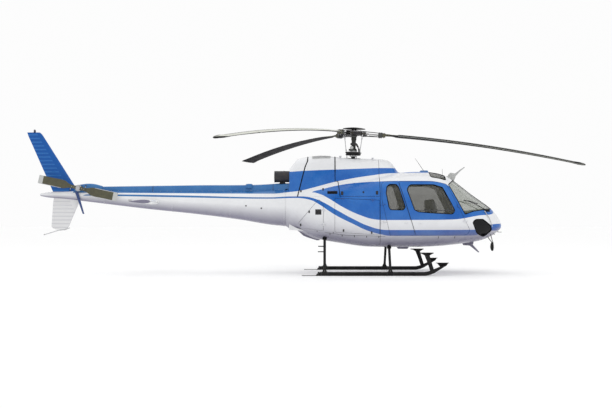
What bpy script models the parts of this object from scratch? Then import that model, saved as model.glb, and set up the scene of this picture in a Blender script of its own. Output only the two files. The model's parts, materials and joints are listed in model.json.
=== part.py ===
"""A light single-turbine helicopter on high skids, at its real size in metres.

The nose points along +X, port is +Y and up is +Z. The origin is on the ground, on the centreline,
midway along the length with the rotor.
"""

import math

import bmesh
import bpy
from mathutils import Matrix, Vector

# Clearances: pieces that touch, and moving pieces beside fixed ones
TOUCH = 0.0003
SEAM = 0.006

# Walls: the cabin skin, a cowl, the outer and inner layers of a door, and a pane of glass
SKIN = 0.045
COWL_SKIN = 0.030
DOOR_OUTER = 0.010
DOOR_OVERLAP = 0.008
DOOR_STEP = 0.026
PANE_OUT = 0.012
PANE_IN = 0.020

# Where a section's points lie on one side, in degrees up from level, closer together over the cowls
SIDE_ANGLES = (-72, -57, -44, -31, -16, 0, 15, 30, 42, 53, 63, 71, 78, 84)
BLEND_POWER = 24
FAR = 3.0

# The hull without its cowls, at stations from tail to nose. The last two columns say how square the
# upper and lower halves of each section are, where 2 is an ellipse.
HULL = (
    # x, bottom, top, widest height, half width, upper squareness, lower squareness
    (-0.45, 1.060, 1.930, 1.490, 0.430, 2.0, 2.0),
    (-0.37, 1.010, 1.940, 1.480, 0.460, 2.1, 2.1),
    (-0.14, 0.950, 1.970, 1.440, 0.550, 2.3, 2.3),
    (0.02, 0.860, 1.990, 1.400, 0.620, 2.4, 2.5),
    (0.20, 0.790, 2.010, 1.360, 0.690, 2.5, 2.7),
    (0.44, 0.745, 2.040, 1.330, 0.760, 2.6, 2.9),
    (0.90, 0.670, 2.100, 1.300, 0.850, 2.7, 3.2),
    (1.30, 0.615, 2.160, 1.280, 0.890, 2.8, 3.4),
    (1.72, 0.600, 2.230, 1.270, 0.915, 2.9, 3.5),
    (2.16, 0.600, 2.290, 1.260, 0.920, 2.9, 3.5),
    (2.51, 0.600, 2.313, 1.250, 0.915, 2.9, 3.4),
    (2.85, 0.610, 2.300, 1.240, 0.900, 2.8, 3.2),
    (3.08, 0.623, 2.255, 1.220, 0.875, 2.7, 3.0),
    (3.31, 0.645, 2.155, 1.200, 0.845, 2.6, 2.8),
    (3.54, 0.670, 1.990, 1.170, 0.800, 2.4, 2.6),
    (3.77, 0.700, 1.810, 1.140, 0.730, 2.3, 2.5),
    (4.00, 0.745, 1.646, 1.110, 0.630, 2.2, 2.4),
    (4.15, 0.800, 1.540, 1.090, 0.540, 2.1, 2.3),
    (4.28, 0.865, 1.430, 1.080, 0.430, 2.0, 2.2),
    (4.38, 0.940, 1.310, 1.075, 0.310, 2.0, 2.0),
    (4.45, 1.000, 1.200, 1.070, 0.170, 2.0, 2.0),
    (4.474, 1.040, 1.110, 1.070, 0.060, 2.0, 2.0),
)

# The raised lobe of the cowls over the hull
COWL = (
    # x, top, half width, squareness
    (-0.46, 2.250, 0.260, 2.4),
    (-0.37, 2.390, 0.300, 2.4),
    (-0.207, 2.600, 0.380, 2.6),
    (-0.07, 2.640, 0.420, 2.8),
    (0.10, 2.662, 0.450, 3.0),
    (0.40, 2.680, 0.480, 3.0),
    (0.667, 2.660, 0.500, 3.0),
    (0.90, 2.634, 0.500, 3.0),
    (1.20, 2.620, 0.500, 3.0),
    (1.60, 2.610, 0.480, 3.0),
    (1.80, 2.592, 0.450, 2.8),
    (1.93, 2.543, 0.420, 2.6),
    (2.046, 2.405, 0.380, 2.4),
    (2.10, 2.300, 0.340, 2.2),
    (2.16, 2.200, 0.300, 2.0),
)

# Side-view outlines, each a loop of (x, z)
CABIN_BACK = 1.660
FLOOR_TOP = 0.862
PEDAL_WELL = 3.62
FRONT_DOOR = (
    (2.075, 2.073), (2.870, 2.073), (3.040, 2.040), (3.140, 2.017),
    (3.655, 0.990), (3.615, 0.915), (3.540, 0.876), (2.453, 0.872),
)
REAR_DOOR = (
    (1.700, 2.020), (1.740, 2.073), (2.060, 2.073), (2.439, 0.872),
    (1.883, 0.872), (1.800, 1.220), (1.700, 1.660),
)
FRONT_WINDOW = (
    (2.250, 1.894), (2.290, 1.972), (2.341, 2.007), (2.851, 2.007), (3.051, 1.945),
    (3.321, 1.424), (3.264, 1.344), (2.767, 1.373), (2.501, 1.395), (2.410, 1.442),
)
REAR_WINDOW = (
    (1.809, 1.963), (1.867, 2.014), (2.024, 2.014), (2.071, 1.952), (2.217, 1.499),
    (2.161, 1.435), (1.878, 1.442), (1.844, 1.511), (1.787, 1.816),
)
WINDSHIELD = (
    (3.185, 2.010), (3.545, 1.340), (3.730, 1.405), (3.905, 1.430),
    (4.600, 1.500), (4.600, 2.500), (3.360, 2.500), (3.330, 2.120),
)
CHIN_WINDOW = (
    (3.714, 1.171), (3.792, 1.238), (3.971, 1.238), (4.150, 1.104),
    (4.195, 0.992), (3.994, 0.825), (3.815, 0.925),
)
CANOPY_BASE = ((CABIN_BACK, 1.305), (3.545, 1.305), (3.730, 1.370), (3.905, 1.395), (4.700, 1.470))
HOLD_DOOR = ((0.660, 1.700), (1.645, 1.655), (1.645, 0.890), (0.660, 0.950))
REAR_HOLD_DOOR = ((0.400, 1.550), (0.300, 1.680), (-0.160, 1.140), (-0.100, 1.030), (0.400, 0.980))
DECK = 1.740
ENGINE_COWL = (
    (-0.182, DECK), (0.776, DECK), (0.729, 2.080), (0.661, 2.090),
    (0.661, FAR), (0.045, FAR), (0.041, 2.640),
)
EXHAUST_FAIRING = ((-0.375, DECK), (-0.183, DECK), (0.040, 2.640), (0.044, FAR), (-0.375, FAR))
GEARBOX_COWL = (
    (0.782, DECK + SEAM), (0.735, 2.086), (0.667, 2.096),
    (0.667, FAR), (1.654, FAR), (1.654, DECK + SEAM),
)
POST = ((2.030, 2.150), (2.090, 2.150), (2.500, 0.855), (2.440, 0.855))
POST_OUT = 0.053
POST_IN = 0.095

# Plan-view outline of the overhead pane on the port side, a loop of (x, y)
ROOF_WINDOW = ((2.790, 0.170), (3.150, 0.170), (3.150, 0.560), (2.790, 0.600))

CENTRE_POST = 0.030
CHIN_GAP = 0.120
SPINE = 0.200
MAST_HOLE = 0.160
MID_BODY_BACK = -0.3753
# Side holds: low x, high x, low z, high z, and how near the centreline they reach
HOLD_INSIDE = (0.740, 1.580, 0.970, 1.600)
HOLD_DEPTH = 0.450
REAR_HOLD_DEPTH = 0.220
REAR_HOLD_FRAME = 0.055

# The exhaust pipe's ends, height and radii, and the blocks for the engine and the main gearbox
PIPE_BACK = -0.724
PIPE_FRONT = -0.060
PIPE_CLOSED = -0.100
PIPE_HEIGHT = 2.205
PIPE_RADIUS = 0.130
PIPE_BORE = 0.118
ENGINE_LOW = (-0.060, -0.240, DECK)
ENGINE_HIGH = (0.600, 0.240, 2.250)
GEARBOX_LOW = (0.850, -0.280, DECK)
GEARBOX_HIGH = (1.400, 0.280, 2.450)

# Hinges: two points on each axis, how far along it the knuckles sit, and their sizes
KNUCKLE_RADIUS = 0.011
KNUCKLE_LENGTH = 0.030
HINGE_ARM = 0.006
FRONT_DOOR_AXIS = ((3.574, 0.835, 1.150), (3.274, 0.815, 1.750))
REAR_DOOR_AXIS = ((1.690, 0.952, 1.100), (1.690, 0.932, 1.600))
HOLD_DOOR_AXIS = ((0.660, 0.775, 1.712), (1.645, 0.915, 1.667))
REAR_HOLD_AXIS = ((0.412, 0.772, 1.080), (0.412, 0.767, 1.480))
GEARBOX_COWL_AXIS = ((0.700, 0.203, 2.672), (1.600, 0.203, 2.620))

# Rotor
MAST_X = 1.105
HUB_HEIGHT = 3.210
MAST_TILT = math.radians(2.0)
ROTOR_RADIUS = 5.345
BLADE_AZIMUTHS = (0.8, 120.8, 240.8)
BLADE_ROOT = 0.720
BLADE_DROOP = 0.530
DROOP_POWER = 1.8
ROOT_PITCH = math.radians(7.0)
TIP_PITCH = math.radians(-3.0)
BLADE = (
    # radius, chord, thickness
    (0.720, 0.100, 0.050),
    (0.860, 0.120, 0.044),
    (0.980, 0.300, 0.042),
    (1.200, 0.350, 0.042),
    (1.900, 0.350, 0.042),
    (2.700, 0.350, 0.042),
    (3.500, 0.350, 0.042),
    (4.300, 0.350, 0.042),
    (5.000, 0.350, 0.042),
    (5.345, 0.350, 0.036),
)
MAST_RADIUS = 0.050
MAST_FOOT_RADIUS = 0.080
GEARBOX_TOP = 2.350
SWASH_HEIGHT = 2.735
SWASH_BORE = 0.075
LINK_LAG = math.radians(-38.0)
LINK_LOW = (0.165, 0.020)
LINK_HIGH = (0.235, -0.085)
LINK_RADIUS = 0.010
LINK_GAP = 0.0155
HORN_START = (0.290, -0.040, -0.040)
HORN_RADIUS = 0.016
SERVO_REACH = 0.115
SERVO_RADIUS = 0.012
SERVO_TURN = 60.0
HUB_BOTTOM = -0.060
HUB_PROFILE = ((0.120, HUB_BOTTOM), (0.170, -0.045), (0.170, 0.025), (0.120, 0.040))
DISH_FOOT = 0.040
DISH_PROFILE = ((0.050, 0.085), (0.262, 0.092), (0.262, 0.098), (0.200, 0.112), (0.080, 0.124))
STAR_ARM = ((0.10, -0.085), (0.42, -0.055), (0.42, 0.055), (0.10, 0.085))
STAR_LOW = -0.028
STAR_HIGH = 0.004
ARM_BLOCKS = (
    # name, low corner, high corner, along each arm of the hub
    ("upper_plate", (0.240, -0.065, 0.026), (0.700, 0.065, 0.040)),
    ("lower_plate", (0.240, -0.065, -0.066), (0.700, 0.065, -0.052)),
    ("bearing", (0.250, -0.050, -0.060), (0.330, 0.050, 0.030)),
    ("root_clamp", (0.600, -0.060, -0.064), (BLADE_ROOT - TOUCH, 0.060, 0.038)),
)

# Tail
BOOM = (
    # x, centre height, radius
    (-6.100, 1.792, 0.030),
    (-6.000, 1.790, 0.050),
    (-5.600, 1.785, 0.085),
    (-5.100, 1.768, 0.126),
    (-4.735, 1.745, 0.148),
    (-3.632, 1.668, 0.205),
    (-2.529, 1.610, 0.262),
    (-1.425, 1.540, 0.335),
    (-0.800, 1.500, 0.400),
    (-0.4503, 1.492, 0.424),
)
BOOM_SIDES = 18
BOOM_WALL = 0.030
BOOM_HOLLOW_FROM = -4.8
SHAFT_COVER = (
    # x, top, half width
    (-4.670, 1.979, 0.075),
    (-2.500, 2.010, 0.085),
    (-0.800, 2.037, 0.100),
    (-0.620, 2.050, 0.120),
    (-0.3757, 2.055, 0.160),
)
TAIL_GEARBOX = (
    (-5.340, 1.930, 0.050),
    (-5.250, 2.000, 0.085),
    (-5.100, 2.037, 0.100),
    (-4.850, 2.037, 0.100),
    (-4.6703, 1.990, 0.080),
)
UPPER_FIN = (
    # height, leading x, trailing x, thickness
    (1.780, -5.180, -5.780, 0.110),
    (2.060, -5.356, -5.902, 0.110),
    (3.150, -6.045, -6.385, 0.062),
    (3.225, -6.120, -6.410, 0.040),
)
LOWER_FIN = (
    (1.780, -5.150, -5.790, 0.080),
    (1.600, -5.218, -5.812, 0.080),
    (1.060, -5.447, -5.850, 0.054),
    (0.990, -5.580, -5.740, 0.030),
)
COVER_FOOT = 1.700
COVER_SQUARENESS = 3.5
TAIL_GEARBOX_FOOT = 1.750
BOSS_REACH = -0.130
GUARD_PATH = ((-5.430, 0, 1.030), (-5.540, 0, 0.985), (-5.680, 0, 0.975), (-6.020, 0, 0.871))
GUARD_BEND = 0.080
GUARD_RADIUS = 0.012
STABILIZER_SPAN = 2.530
STABILIZER_HEIGHT = 1.625
STABILIZER_LEAD = -3.350
STABILIZER_TRAIL = -3.810
STABILIZER_THICKNESS = 0.090
TAIL_HUB = (-5.167, -0.290, 1.940)
TAIL_HUB_FRONT = 0.012
TAIL_HUB_PLATE = 0.075
TAIL_SHAFT = 0.035
TAIL_ROTOR_ANGLE = math.radians(12.0)
TAIL_BLADE = (
    # radius, chord, thickness
    (0.000, 0.080, 0.016),
    (0.200, 0.090, 0.016),
    (0.300, 0.175, 0.018),
    (0.360, 0.190, 0.018),
    (0.915, 0.190, 0.014),
)

# Skid gear
SKID_Y = 1.085
SKID_RADIUS = 0.0425
SKID_BACK = 0.227
SKID_BEND = 2.700
SKID_TIP = (3.150, 0.265)
SKID_CURVE = 0.500
SADDLE = (
    # height, half length, half width
    (0.060, 0.085, 0.036),
    (0.125, 0.040, 0.040),
)
STEP_STRUT = (2.800, 0.060, 2.655, 0.500, 0.022)
SKID_PLATES = (
    # name, low x, high x, half width, low z, high z
    ("step", 2.500, 2.810, 0.055, 0.488, 0.508),
    ("tip_plate", 2.860, 3.150, 0.040, 0.276, 0.290),
    ("rear_strip", -0.070, 0.400, 0.030, 0.004, 0.012),
)
LEG_RADIUS = 0.027
LEG_BEND = 0.110
# The cross tubes' x, height in the body and half width before they bend down
FRONT_LEG = (1.870, 0.640, 0.600)
REAR_LEG = (0.430, 0.850, 0.520)

# Interior outlines, each a loop of (x, z), and how far each reaches across
FRONT_SEAT = (
    (2.860, FLOOR_TOP + TOUCH), (3.240, FLOOR_TOP + TOUCH), (3.240, 1.100), (3.360, 1.120),
    (3.360, 1.210), (2.990, 1.190), (2.890, 1.670), (2.770, 1.670), (2.810, 1.150), (2.860, 1.100),
)
SEAT_SPAN = (0.180, 0.600)
REAR_BENCH = (
    (1.700 + TOUCH, FLOOR_TOP + TOUCH), (2.160, FLOOR_TOP + TOUCH), (2.180, 1.200),
    (1.860, 1.190), (1.800, 1.700), (1.700 + TOUCH, 1.700),
)
BENCH_SPAN = (-0.620, 0.620)
PANEL = ((3.560, 1.000), (3.620, 1.000), (3.740, 1.000), (3.760, 1.380), (3.640, 1.430))
PANEL_SPAN = (-0.180, 0.380)
CONSOLE = ((3.300, FLOOR_TOP + TOUCH), (3.610, FLOOR_TOP + TOUCH), (3.700, 1.100), (3.560, 1.080), (3.320, 0.980))
CONSOLE_SPAN = (-0.110, 0.110)
REAR_WALL_FRONT = 1.700

# Fittings
AERIAL_BASE = (
    # height, half width
    (2.280, 0.055),
    (2.335, 0.030),
)
AERIAL_ENDS = (2.610, 2.810)
WHIP = ((2.715, 0, 2.325), (2.515, 0, 2.618))
WHIP_RADIUS = 0.007
UPPER_CUTTER = ((3.220, 2.150), (3.290, 2.290), (3.640, 2.432), (3.660, 2.400), (3.420, 2.190), (3.500, 1.980))
UPPER_CUTTER_HALF = 0.010
LOWER_CUTTER = (
    (3.590, 0.740), (3.610, 0.630), (3.760, 0.620), (3.960, 0.460), (3.990, 0.475), (3.830, 0.640), (3.870, 0.760),
)
LOWER_CUTTER_HALF = 0.014
HARD_POINT = (
    # height, low x, high x, half width
    (0.550, 2.110, 2.330, 0.110),
    (0.640, 2.060, 2.380, 0.160),
)
MIRROR_CENTRE = (4.210, -0.430, 0.615)
MIRROR_PROFILE = ((0.055, -0.040), (0.092, -0.022), (0.100, 0.0), (0.085, 0.020))
MIRROR_ARMS = (
    # start, end
    ((4.205, -0.430, 0.700), (4.080, -0.300, 0.900)),
    ((4.215, -0.460, 0.700), (4.170, -0.360, 0.960)),
)
MIRROR_ARM_RADIUS = 0.009

# Materials: base colour, roughness, metallic
FINISHES = {
    "white_paint": ((0.80, 0.81, 0.84), 0.25, 0.0),
    "blue_paint": ((0.02, 0.12, 0.50), 0.25, 0.0),
    "black_paint": ((0.02, 0.02, 0.025), 0.45, 0.0),
    "glass": ((0.25, 0.28, 0.30), 0.05, 0.0),
    "cloth": ((0.12, 0.13, 0.16), 0.85, 0.0),
    "trim": ((0.05, 0.05, 0.055), 0.60, 0.0),
    "metal": ((0.45, 0.46, 0.47), 0.40, 0.9),
    "blade": ((0.20, 0.20, 0.19), 0.50, 0.0),
}


def clear_scene():
    for item in list(bpy.data.objects):
        bpy.data.objects.remove(item)


def finish(name):
    """The named material, made once."""
    found = bpy.data.materials.get(name)
    if found:
        return found
    colour, roughness, metallic = FINISHES[name]
    made = bpy.data.materials.new(name)
    made.use_nodes = True
    shader = made.node_tree.nodes["Principled BSDF"]
    shader.inputs["Base Color"].default_value = (*colour, 1.0)
    shader.inputs["Roughness"].default_value = roughness
    shader.inputs["Metallic"].default_value = metallic
    return made


def object_of(mesh, name):
    """A new object with the bmesh as its mesh."""
    bmesh.ops.recalc_face_normals(mesh, faces=mesh.faces)
    bmesh.ops.triangulate(mesh, faces=mesh.faces)
    data = bpy.data.meshes.new(name)
    mesh.to_mesh(data)
    mesh.free()
    made = bpy.data.objects.new(name, data)
    bpy.context.scene.collection.objects.link(made)
    return made


def evaluated(piece):
    """The piece's mesh with its modifiers."""
    bpy.context.view_layer.update()
    graph = bpy.context.evaluated_depsgraph_get()
    return bpy.data.meshes.new_from_object(piece.evaluated_get(graph))


def combine(piece, operation, tool):
    """Joins, cuts or keeps with the tool, which is used up."""
    modifier = piece.modifiers.new(operation, "BOOLEAN")
    modifier.operation = operation
    modifier.solver = "EXACT"
    modifier.object = tool
    result = evaluated(piece)
    piece.modifiers.clear()
    piece.data = result
    bpy.data.objects.remove(tool)
    return piece


def join(piece, tool):
    return combine(piece, "UNION", tool)


def cut(piece, tool):
    return combine(piece, "DIFFERENCE", tool)


def keep(piece, tool):
    return combine(piece, "INTERSECT", tool)


def loft(name, rings):
    """A closed body through rings that have the same number of points, with flat ends."""
    mesh = bmesh.new()
    rows = [[mesh.verts.new(point) for point in ring] for ring in rings]
    for low, high in zip(rows, rows[1:]):
        for here in range(len(low)):
            after = (here + 1) % len(low)
            mesh.faces.new((low[here], low[after], high[after], high[here]))
    mesh.faces.new(rows[0])
    mesh.faces.new(rows[-1])
    return object_of(mesh, name)


def prism(name, outline, axis, low, high):
    """An outline pushed from low to high along X, Y or Z. Its pairs are the other two, in order."""
    place = {
        "X": lambda a, b, c: (c, a, b),
        "Y": lambda a, b, c: (a, c, b),
        "Z": lambda a, b, c: (a, b, c),
    }[axis]
    return loft(name, [[place(a, b, c) for a, b in outline] for c in (low, high)])


def block(name, low, high):
    x, y, z = zip(low, high)
    corners = ((x[0], z[0]), (x[1], z[0]), (x[1], z[1]), (x[0], z[1]))
    return prism(name, corners, "Y", y[0], y[1])


def grow(outline, distance):
    """The outline moved outward by the distance, or inward where it is negative."""
    count = len(outline)
    area = sum(
        outline[k][0] * outline[(k + 1) % count][1] - outline[(k + 1) % count][0] * outline[k][1]
        for k in range(count)
    )
    turn = 1.0 if area > 0 else -1.0
    moved = []
    for k in range(count):
        here = Vector(outline[k])
        before = (here - Vector(outline[k - 1])).normalized()
        after = (Vector(outline[(k + 1) % count]) - here).normalized()
        out_before = Vector((before.y, -before.x)) * turn
        out_after = Vector((after.y, -after.x)) * turn
        middle = (out_before + out_after).normalized()
        moved.append(tuple(here + middle * distance / max(0.4, middle.dot(out_before))))
    return moved


def rod(name, start, end, radius, sides=10):
    """A straight round bar."""
    start = Vector(start)
    along = Vector(end) - start
    turn = along.to_track_quat("Z", "Y").to_matrix()
    rings = []
    for height in (0.0, along.length):
        ring = []
        for k in range(sides):
            angle = 2 * math.pi * (k + 0.5) / sides
            across = Vector((radius * math.cos(angle), radius * math.sin(angle), height))
            ring.append(start + turn @ across)
        rings.append(ring)
    return loft(name, rings)


def turned(name, profile, sides=20):
    """A solid of revolution about Z, through (radius, height) pairs from bottom to top."""
    rings = []
    for radius, height in profile:
        rings.append([
            (radius * math.cos(2 * math.pi * k / sides), radius * math.sin(2 * math.pi * k / sides), height)
            for k in range(sides)
        ])
    return loft(name, rings)


def rounded(points, radius, steps=5):
    """The path with each inner corner rounded."""
    path = [Vector(points[0])]
    for before, corner, after in zip(points, points[1:], points[2:]):
        corner = Vector(corner)
        back = (Vector(before) - corner).normalized()
        ahead = (Vector(after) - corner).normalized()
        reach = radius / math.tan(back.angle(ahead) / 2)
        start = corner + back * reach
        end = corner + ahead * reach
        for k in range(steps + 1):
            t = k / steps
            path.append(start.lerp(corner, t).lerp(corner.lerp(end, t), t))
    path.append(Vector(points[-1]))
    return path


def tube(name, path, radius, resolution=1):
    """A solid round tube along a path."""
    curve = bpy.data.curves.new(name, "CURVE")
    curve.dimensions = "3D"
    curve.bevel_depth = radius
    curve.bevel_resolution = resolution
    curve.use_fill_caps = True
    spline = curve.splines.new("POLY")
    spline.points.add(len(path) - 1)
    for point, place in zip(spline.points, path):
        point.co = (*place, 1.0)
    carrier = bpy.data.objects.new(name, curve)
    bpy.context.scene.collection.objects.link(carrier)
    mesh = bmesh.new()
    mesh.from_mesh(evaluated(carrier))
    bpy.data.objects.remove(carrier)
    bmesh.ops.remove_doubles(mesh, verts=mesh.verts, dist=0.00001)
    return object_of(mesh, name)


def leg_path(x, top, reach, deeper=0.0):
    """A cross tube's centre line, from one skid up through the body to the other."""
    end = (x, SKID_Y - 0.010 + deeper, 2 * SKID_RADIUS + 0.010 - deeper)
    half = [(x, reach, top), end]
    return rounded([(x, -y, z) for x, y, z in reversed(half)] + half, LEG_BEND)


def row_at(table, x):
    """The row of a table at x, straight between its stations."""
    for low, high in zip(table, table[1:]):
        if x <= high[0]:
            share = max(0.0, (x - low[0]) / (high[0] - low[0]))
            return [a + (b - a) * share for a, b in zip(low, high)]
    return list(table[-1])


def lobe_radius(angle, half_width, height, squareness):
    """How far a rounded half section reaches from its centre at an angle."""
    across = abs(math.cos(angle)) / half_width
    up = abs(math.sin(angle)) / height
    return (across ** squareness + up ** squareness) ** (-1 / squareness)


def body_point(x, angle, with_cowl):
    """The point of the outer skin at a station and an angle up from port."""
    _, bottom, top, wide, half_width, upper, lower = row_at(HULL, x)
    if math.sin(angle) < 0:
        radius = lobe_radius(angle, half_width, wide - bottom, lower)
    else:
        radius = lobe_radius(angle, half_width, top - wide, upper)
        if with_cowl:
            _, cowl_top, cowl_half, square = row_at(COWL, x)
            second = lobe_radius(angle, cowl_half, cowl_top - wide, square)
            radius = (radius ** BLEND_POWER + second ** BLEND_POWER) ** (1 / BLEND_POWER)
    return Vector((x, radius * math.cos(angle), wide + radius * math.sin(angle)))


def body_solid(depth=0.0, with_cowl=False, low=-1.0, high=5.0):
    """The whole body, with its skin moved in by the depth."""
    stations = [row[0] for row in HULL if low <= row[0] <= high]
    if with_cowl:
        stations += [row[0] for row in COWL if low <= row[0] <= high]
    around = [-90] + list(SIDE_ANGLES) + [90] + [180 - angle for angle in reversed(SIDE_ANGLES)]
    rings = []
    for x in sorted(set(stations)):
        if with_cowl and not COWL[0][0] <= x <= COWL[-1][0]:
            continue
        rings.append([body_point(x, math.radians(angle), with_cowl) for angle in around])
    made = loft("body", rings)
    if depth:
        mesh = bmesh.new()
        mesh.from_mesh(made.data)
        mesh.normal_update()
        moves = [vert.normal * depth * vert.calc_shell_factor() for vert in mesh.verts]
        for vert, move in zip(mesh.verts, moves):
            vert.co -= move
        mesh.to_mesh(made.data)
        mesh.free()
    return made


def skin_y(x, z, side, depth=0.0):
    """The point of the hull's side at a station and a height, a depth inside the skin."""
    low, high = -math.pi / 2, math.pi / 2
    for _ in range(40):
        middle = (low + high) / 2
        if body_point(x, middle, False).z < z:
            low = middle
        else:
            high = middle
    point = body_point(x, low, False)
    return Vector((x, side * (point.y - depth), z))


def skin_z(x, y, depth=0.0):
    """The point on top of the cowls at a station and a distance from the centreline."""
    low, high = 0.0, math.pi / 2
    for _ in range(40):
        middle = (low + high) / 2
        if body_point(x, middle, True).y > abs(y):
            low = middle
        else:
            high = middle
    point = body_point(x, low, True)
    return Vector((x, y, point.z - depth))


def side_range(side):
    """The stretch of Y on one side of the body."""
    return (0.02, 2.0) if side > 0 else (-2.0, -0.02)


def layer(name, outline, span, outer, inner, with_cowl=False):
    """The part of the skin between two depths that lies inside a side-view outline."""
    piece = body_solid(outer, with_cowl)
    piece.name = name
    keep(piece, prism("region", outline, "Y", *span))
    return cut(piece, body_solid(inner, with_cowl))


def lid(name, outline, side, window=None):
    """A door with a thin outer skin over a smaller inner frame, and its window cut."""
    span = side_range(side)
    piece = layer(name, outline, span, 0.0, DOOR_OUTER)
    join(piece, layer("frame", grow(outline, -DOOR_STEP), span, DOOR_OVERLAP, SKIN))
    if window:
        cut(piece, prism("window", grow(window, TOUCH), "Y", *span))
    return piece


def hinge(fixed, moving, axis, side, spots, fixed_end, moving_end):
    """Knuckles on an axis, each with an arm into its own piece. The ends are functions of the place."""
    start = Vector((axis[0][0], axis[0][1] * side, axis[0][2]))
    end = Vector((axis[1][0], axis[1][1] * side, axis[1][2]))
    along = (end - start).normalized()
    for spot in spots:
        centre = start.lerp(end, spot)
        for piece, sign, reach in ((fixed, -1.0, fixed_end), (moving, 1.0, moving_end)):
            near = centre + along * sign * TOUCH
            far = centre + along * sign * KNUCKLE_LENGTH
            middle = (near + far) / 2
            join(piece, rod("arm", middle, reach(middle), HINGE_ARM, 6))
            join(piece, rod("knuckle", near, far, KNUCKLE_RADIUS, 8))


def make_cabin():
    """The cabin's lower tub with its floor, the canopy frame, the rear wall, doors and windows."""
    both = (-2.0, 2.0)
    front_opening = grow(FRONT_DOOR, SEAM)
    rear_opening = grow(REAR_DOOR, SEAM)

    tub = body_solid()
    tub.name = "cabin_tub"
    tub_region = [(x, z - TOUCH) for x, z in CANOPY_BASE] + [(4.700, -0.1), (CABIN_BACK, -0.1)]
    keep(tub, prism("region", tub_region, "Y", *both))
    room = body_solid(SKIN)
    inside = ((1.0, FLOOR_TOP), (PEDAL_WELL, FLOOR_TOP), (PEDAL_WELL, -1.0), (5.0, -1.0), (5.0, 4.0), (1.0, 4.0))
    keep(room, prism("inside", inside, "Y", *both))
    cut(tub, room)

    canopy_region = list(CANOPY_BASE) + [(4.700, 3.0), (CABIN_BACK, 3.0)]
    canopy = layer("canopy_frame", canopy_region, both, 0.0, SKIN)
    for outline in (front_opening, rear_opening):
        cut(tub, prism("opening", outline, "Y", *both))
        cut(canopy, prism("opening", outline, "Y", *both))

    panes = []
    for word, side in (("right", -1), ("left", 1)):
        span = (CENTRE_POST, 2.0) if side > 0 else (-2.0, -CENTRE_POST)
        wide_span = (CENTRE_POST - TOUCH, 2.0) if side > 0 else (-2.0, TOUCH - CENTRE_POST)
        cut(canopy, prism("opening", grow(WINDSHIELD, TOUCH), "Y", *wide_span))
        panes.append(layer(word + "_windshield", WINDSHIELD, span, PANE_OUT, PANE_IN))

        chin_span = (CHIN_GAP, 2.0) if side > 0 else (-2.0, -CHIN_GAP)
        chin_wide = (CHIN_GAP - TOUCH, 2.0) if side > 0 else (-2.0, TOUCH - CHIN_GAP)
        cut(tub, prism("opening", grow(CHIN_WINDOW, TOUCH), "Y", *chin_wide))
        panes.append(layer(word + "_chin_window", CHIN_WINDOW, chin_span, PANE_OUT, PANE_IN))

        roof_outline = [(x, y * side) for x, y in ROOF_WINDOW]
        cut(canopy, prism("opening", grow(roof_outline, TOUCH), "Z", 1.8, FAR))
        pane = body_solid(PANE_OUT)
        pane.name = word + "_roof_window"
        keep(pane, prism("region", roof_outline, "Z", 1.8, FAR))
        panes.append(cut(pane, body_solid(PANE_IN)))

        post = body_solid(POST_OUT, low=1.0, high=3.1)
        keep(post, prism("region", POST, "Y", *side_range(side)))
        cut(post, body_solid(POST_IN, low=1.0, high=3.1))
        top = body_solid(0.030, low=1.0, high=3.1)
        keep(top, prism("region", grow(POST, -0.001), "Y", *side_range(side)))
        keep(top, block("top", (1.0, -2.0, 2.086), (3.0, 2.0, FAR)))
        cut(top, body_solid(POST_IN - 0.002, low=1.0, high=3.1))
        join(post, top)
        cut(post, block("floor", (1.0, -2.0, 0.0), (3.0, 2.0, FLOOR_TOP + SEAM)))
        join(canopy, post)

    wall = body_solid(SKIN + TOUCH)
    wall.name = "rear_wall"
    keep(wall, block("region", (CABIN_BACK + TOUCH, -2.0, FLOOR_TOP + TOUCH), (REAR_WALL_FRONT, 2.0, FAR)))

    for word, side in (("right", -1), ("left", 1)):
        span = side_range(side)
        front = lid(word + "_front_door", FRONT_DOOR, side, FRONT_WINDOW)
        hinge(
            tub, front, FRONT_DOOR_AXIS, side, (0.08,),
            lambda at, side=side: skin_y(at.x + 0.075, at.z, side, 0.020),
            lambda at, side=side: skin_y(at.x - 0.060, at.z, side, 0.020),
        )
        hinge(
            canopy, front, FRONT_DOOR_AXIS, side, (0.62,),
            lambda at, side=side: skin_y(at.x + 0.034, at.z, side, 0.020),
            lambda at, side=side: skin_y(at.x - 0.060, at.z, side, 0.020),
        )
        paint(front, "white_paint")
        rear = lid(word + "_rear_door", REAR_DOOR, side, REAR_WINDOW)
        hinge(
            tub, rear, REAR_DOOR_AXIS, side, (0.15,),
            lambda at, side=side: skin_y(at.x + 0.030, at.z, side, 0.020),
            lambda at, side=side: skin_y(at.x + 0.190, at.z, side, 0.010),
        )
        hinge(
            canopy, rear, REAR_DOOR_AXIS, side, (0.92,),
            lambda at, side=side: skin_y(at.x - 0.012, at.z, side, 0.025),
            lambda at, side=side: skin_y(at.x + 0.080, at.z, side, 0.020),
        )
        paint(rear, "white_paint")
        for kind, outline in (("front", FRONT_WINDOW), ("rear", REAR_WINDOW)):
            panes.append(layer(word + "_" + kind + "_door_window", outline, span, PANE_OUT, PANE_IN))
    for pane in panes:
        paint(pane, "glass")
    cut(tub, tube("front_leg_hole", leg_path(*FRONT_LEG), LEG_RADIUS + TOUCH))
    front_x, front_top, _ = FRONT_LEG
    cut(tub, block("front_leg_slot", (front_x - LEG_RADIUS - TOUCH, -2.0, 0.0),
                   (front_x + LEG_RADIUS + TOUCH, 2.0, front_top)))
    for piece, look in ((tub, "blue_paint"), (canopy, "white_paint"), (wall, "trim")):
        paint(piece, look)


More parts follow.
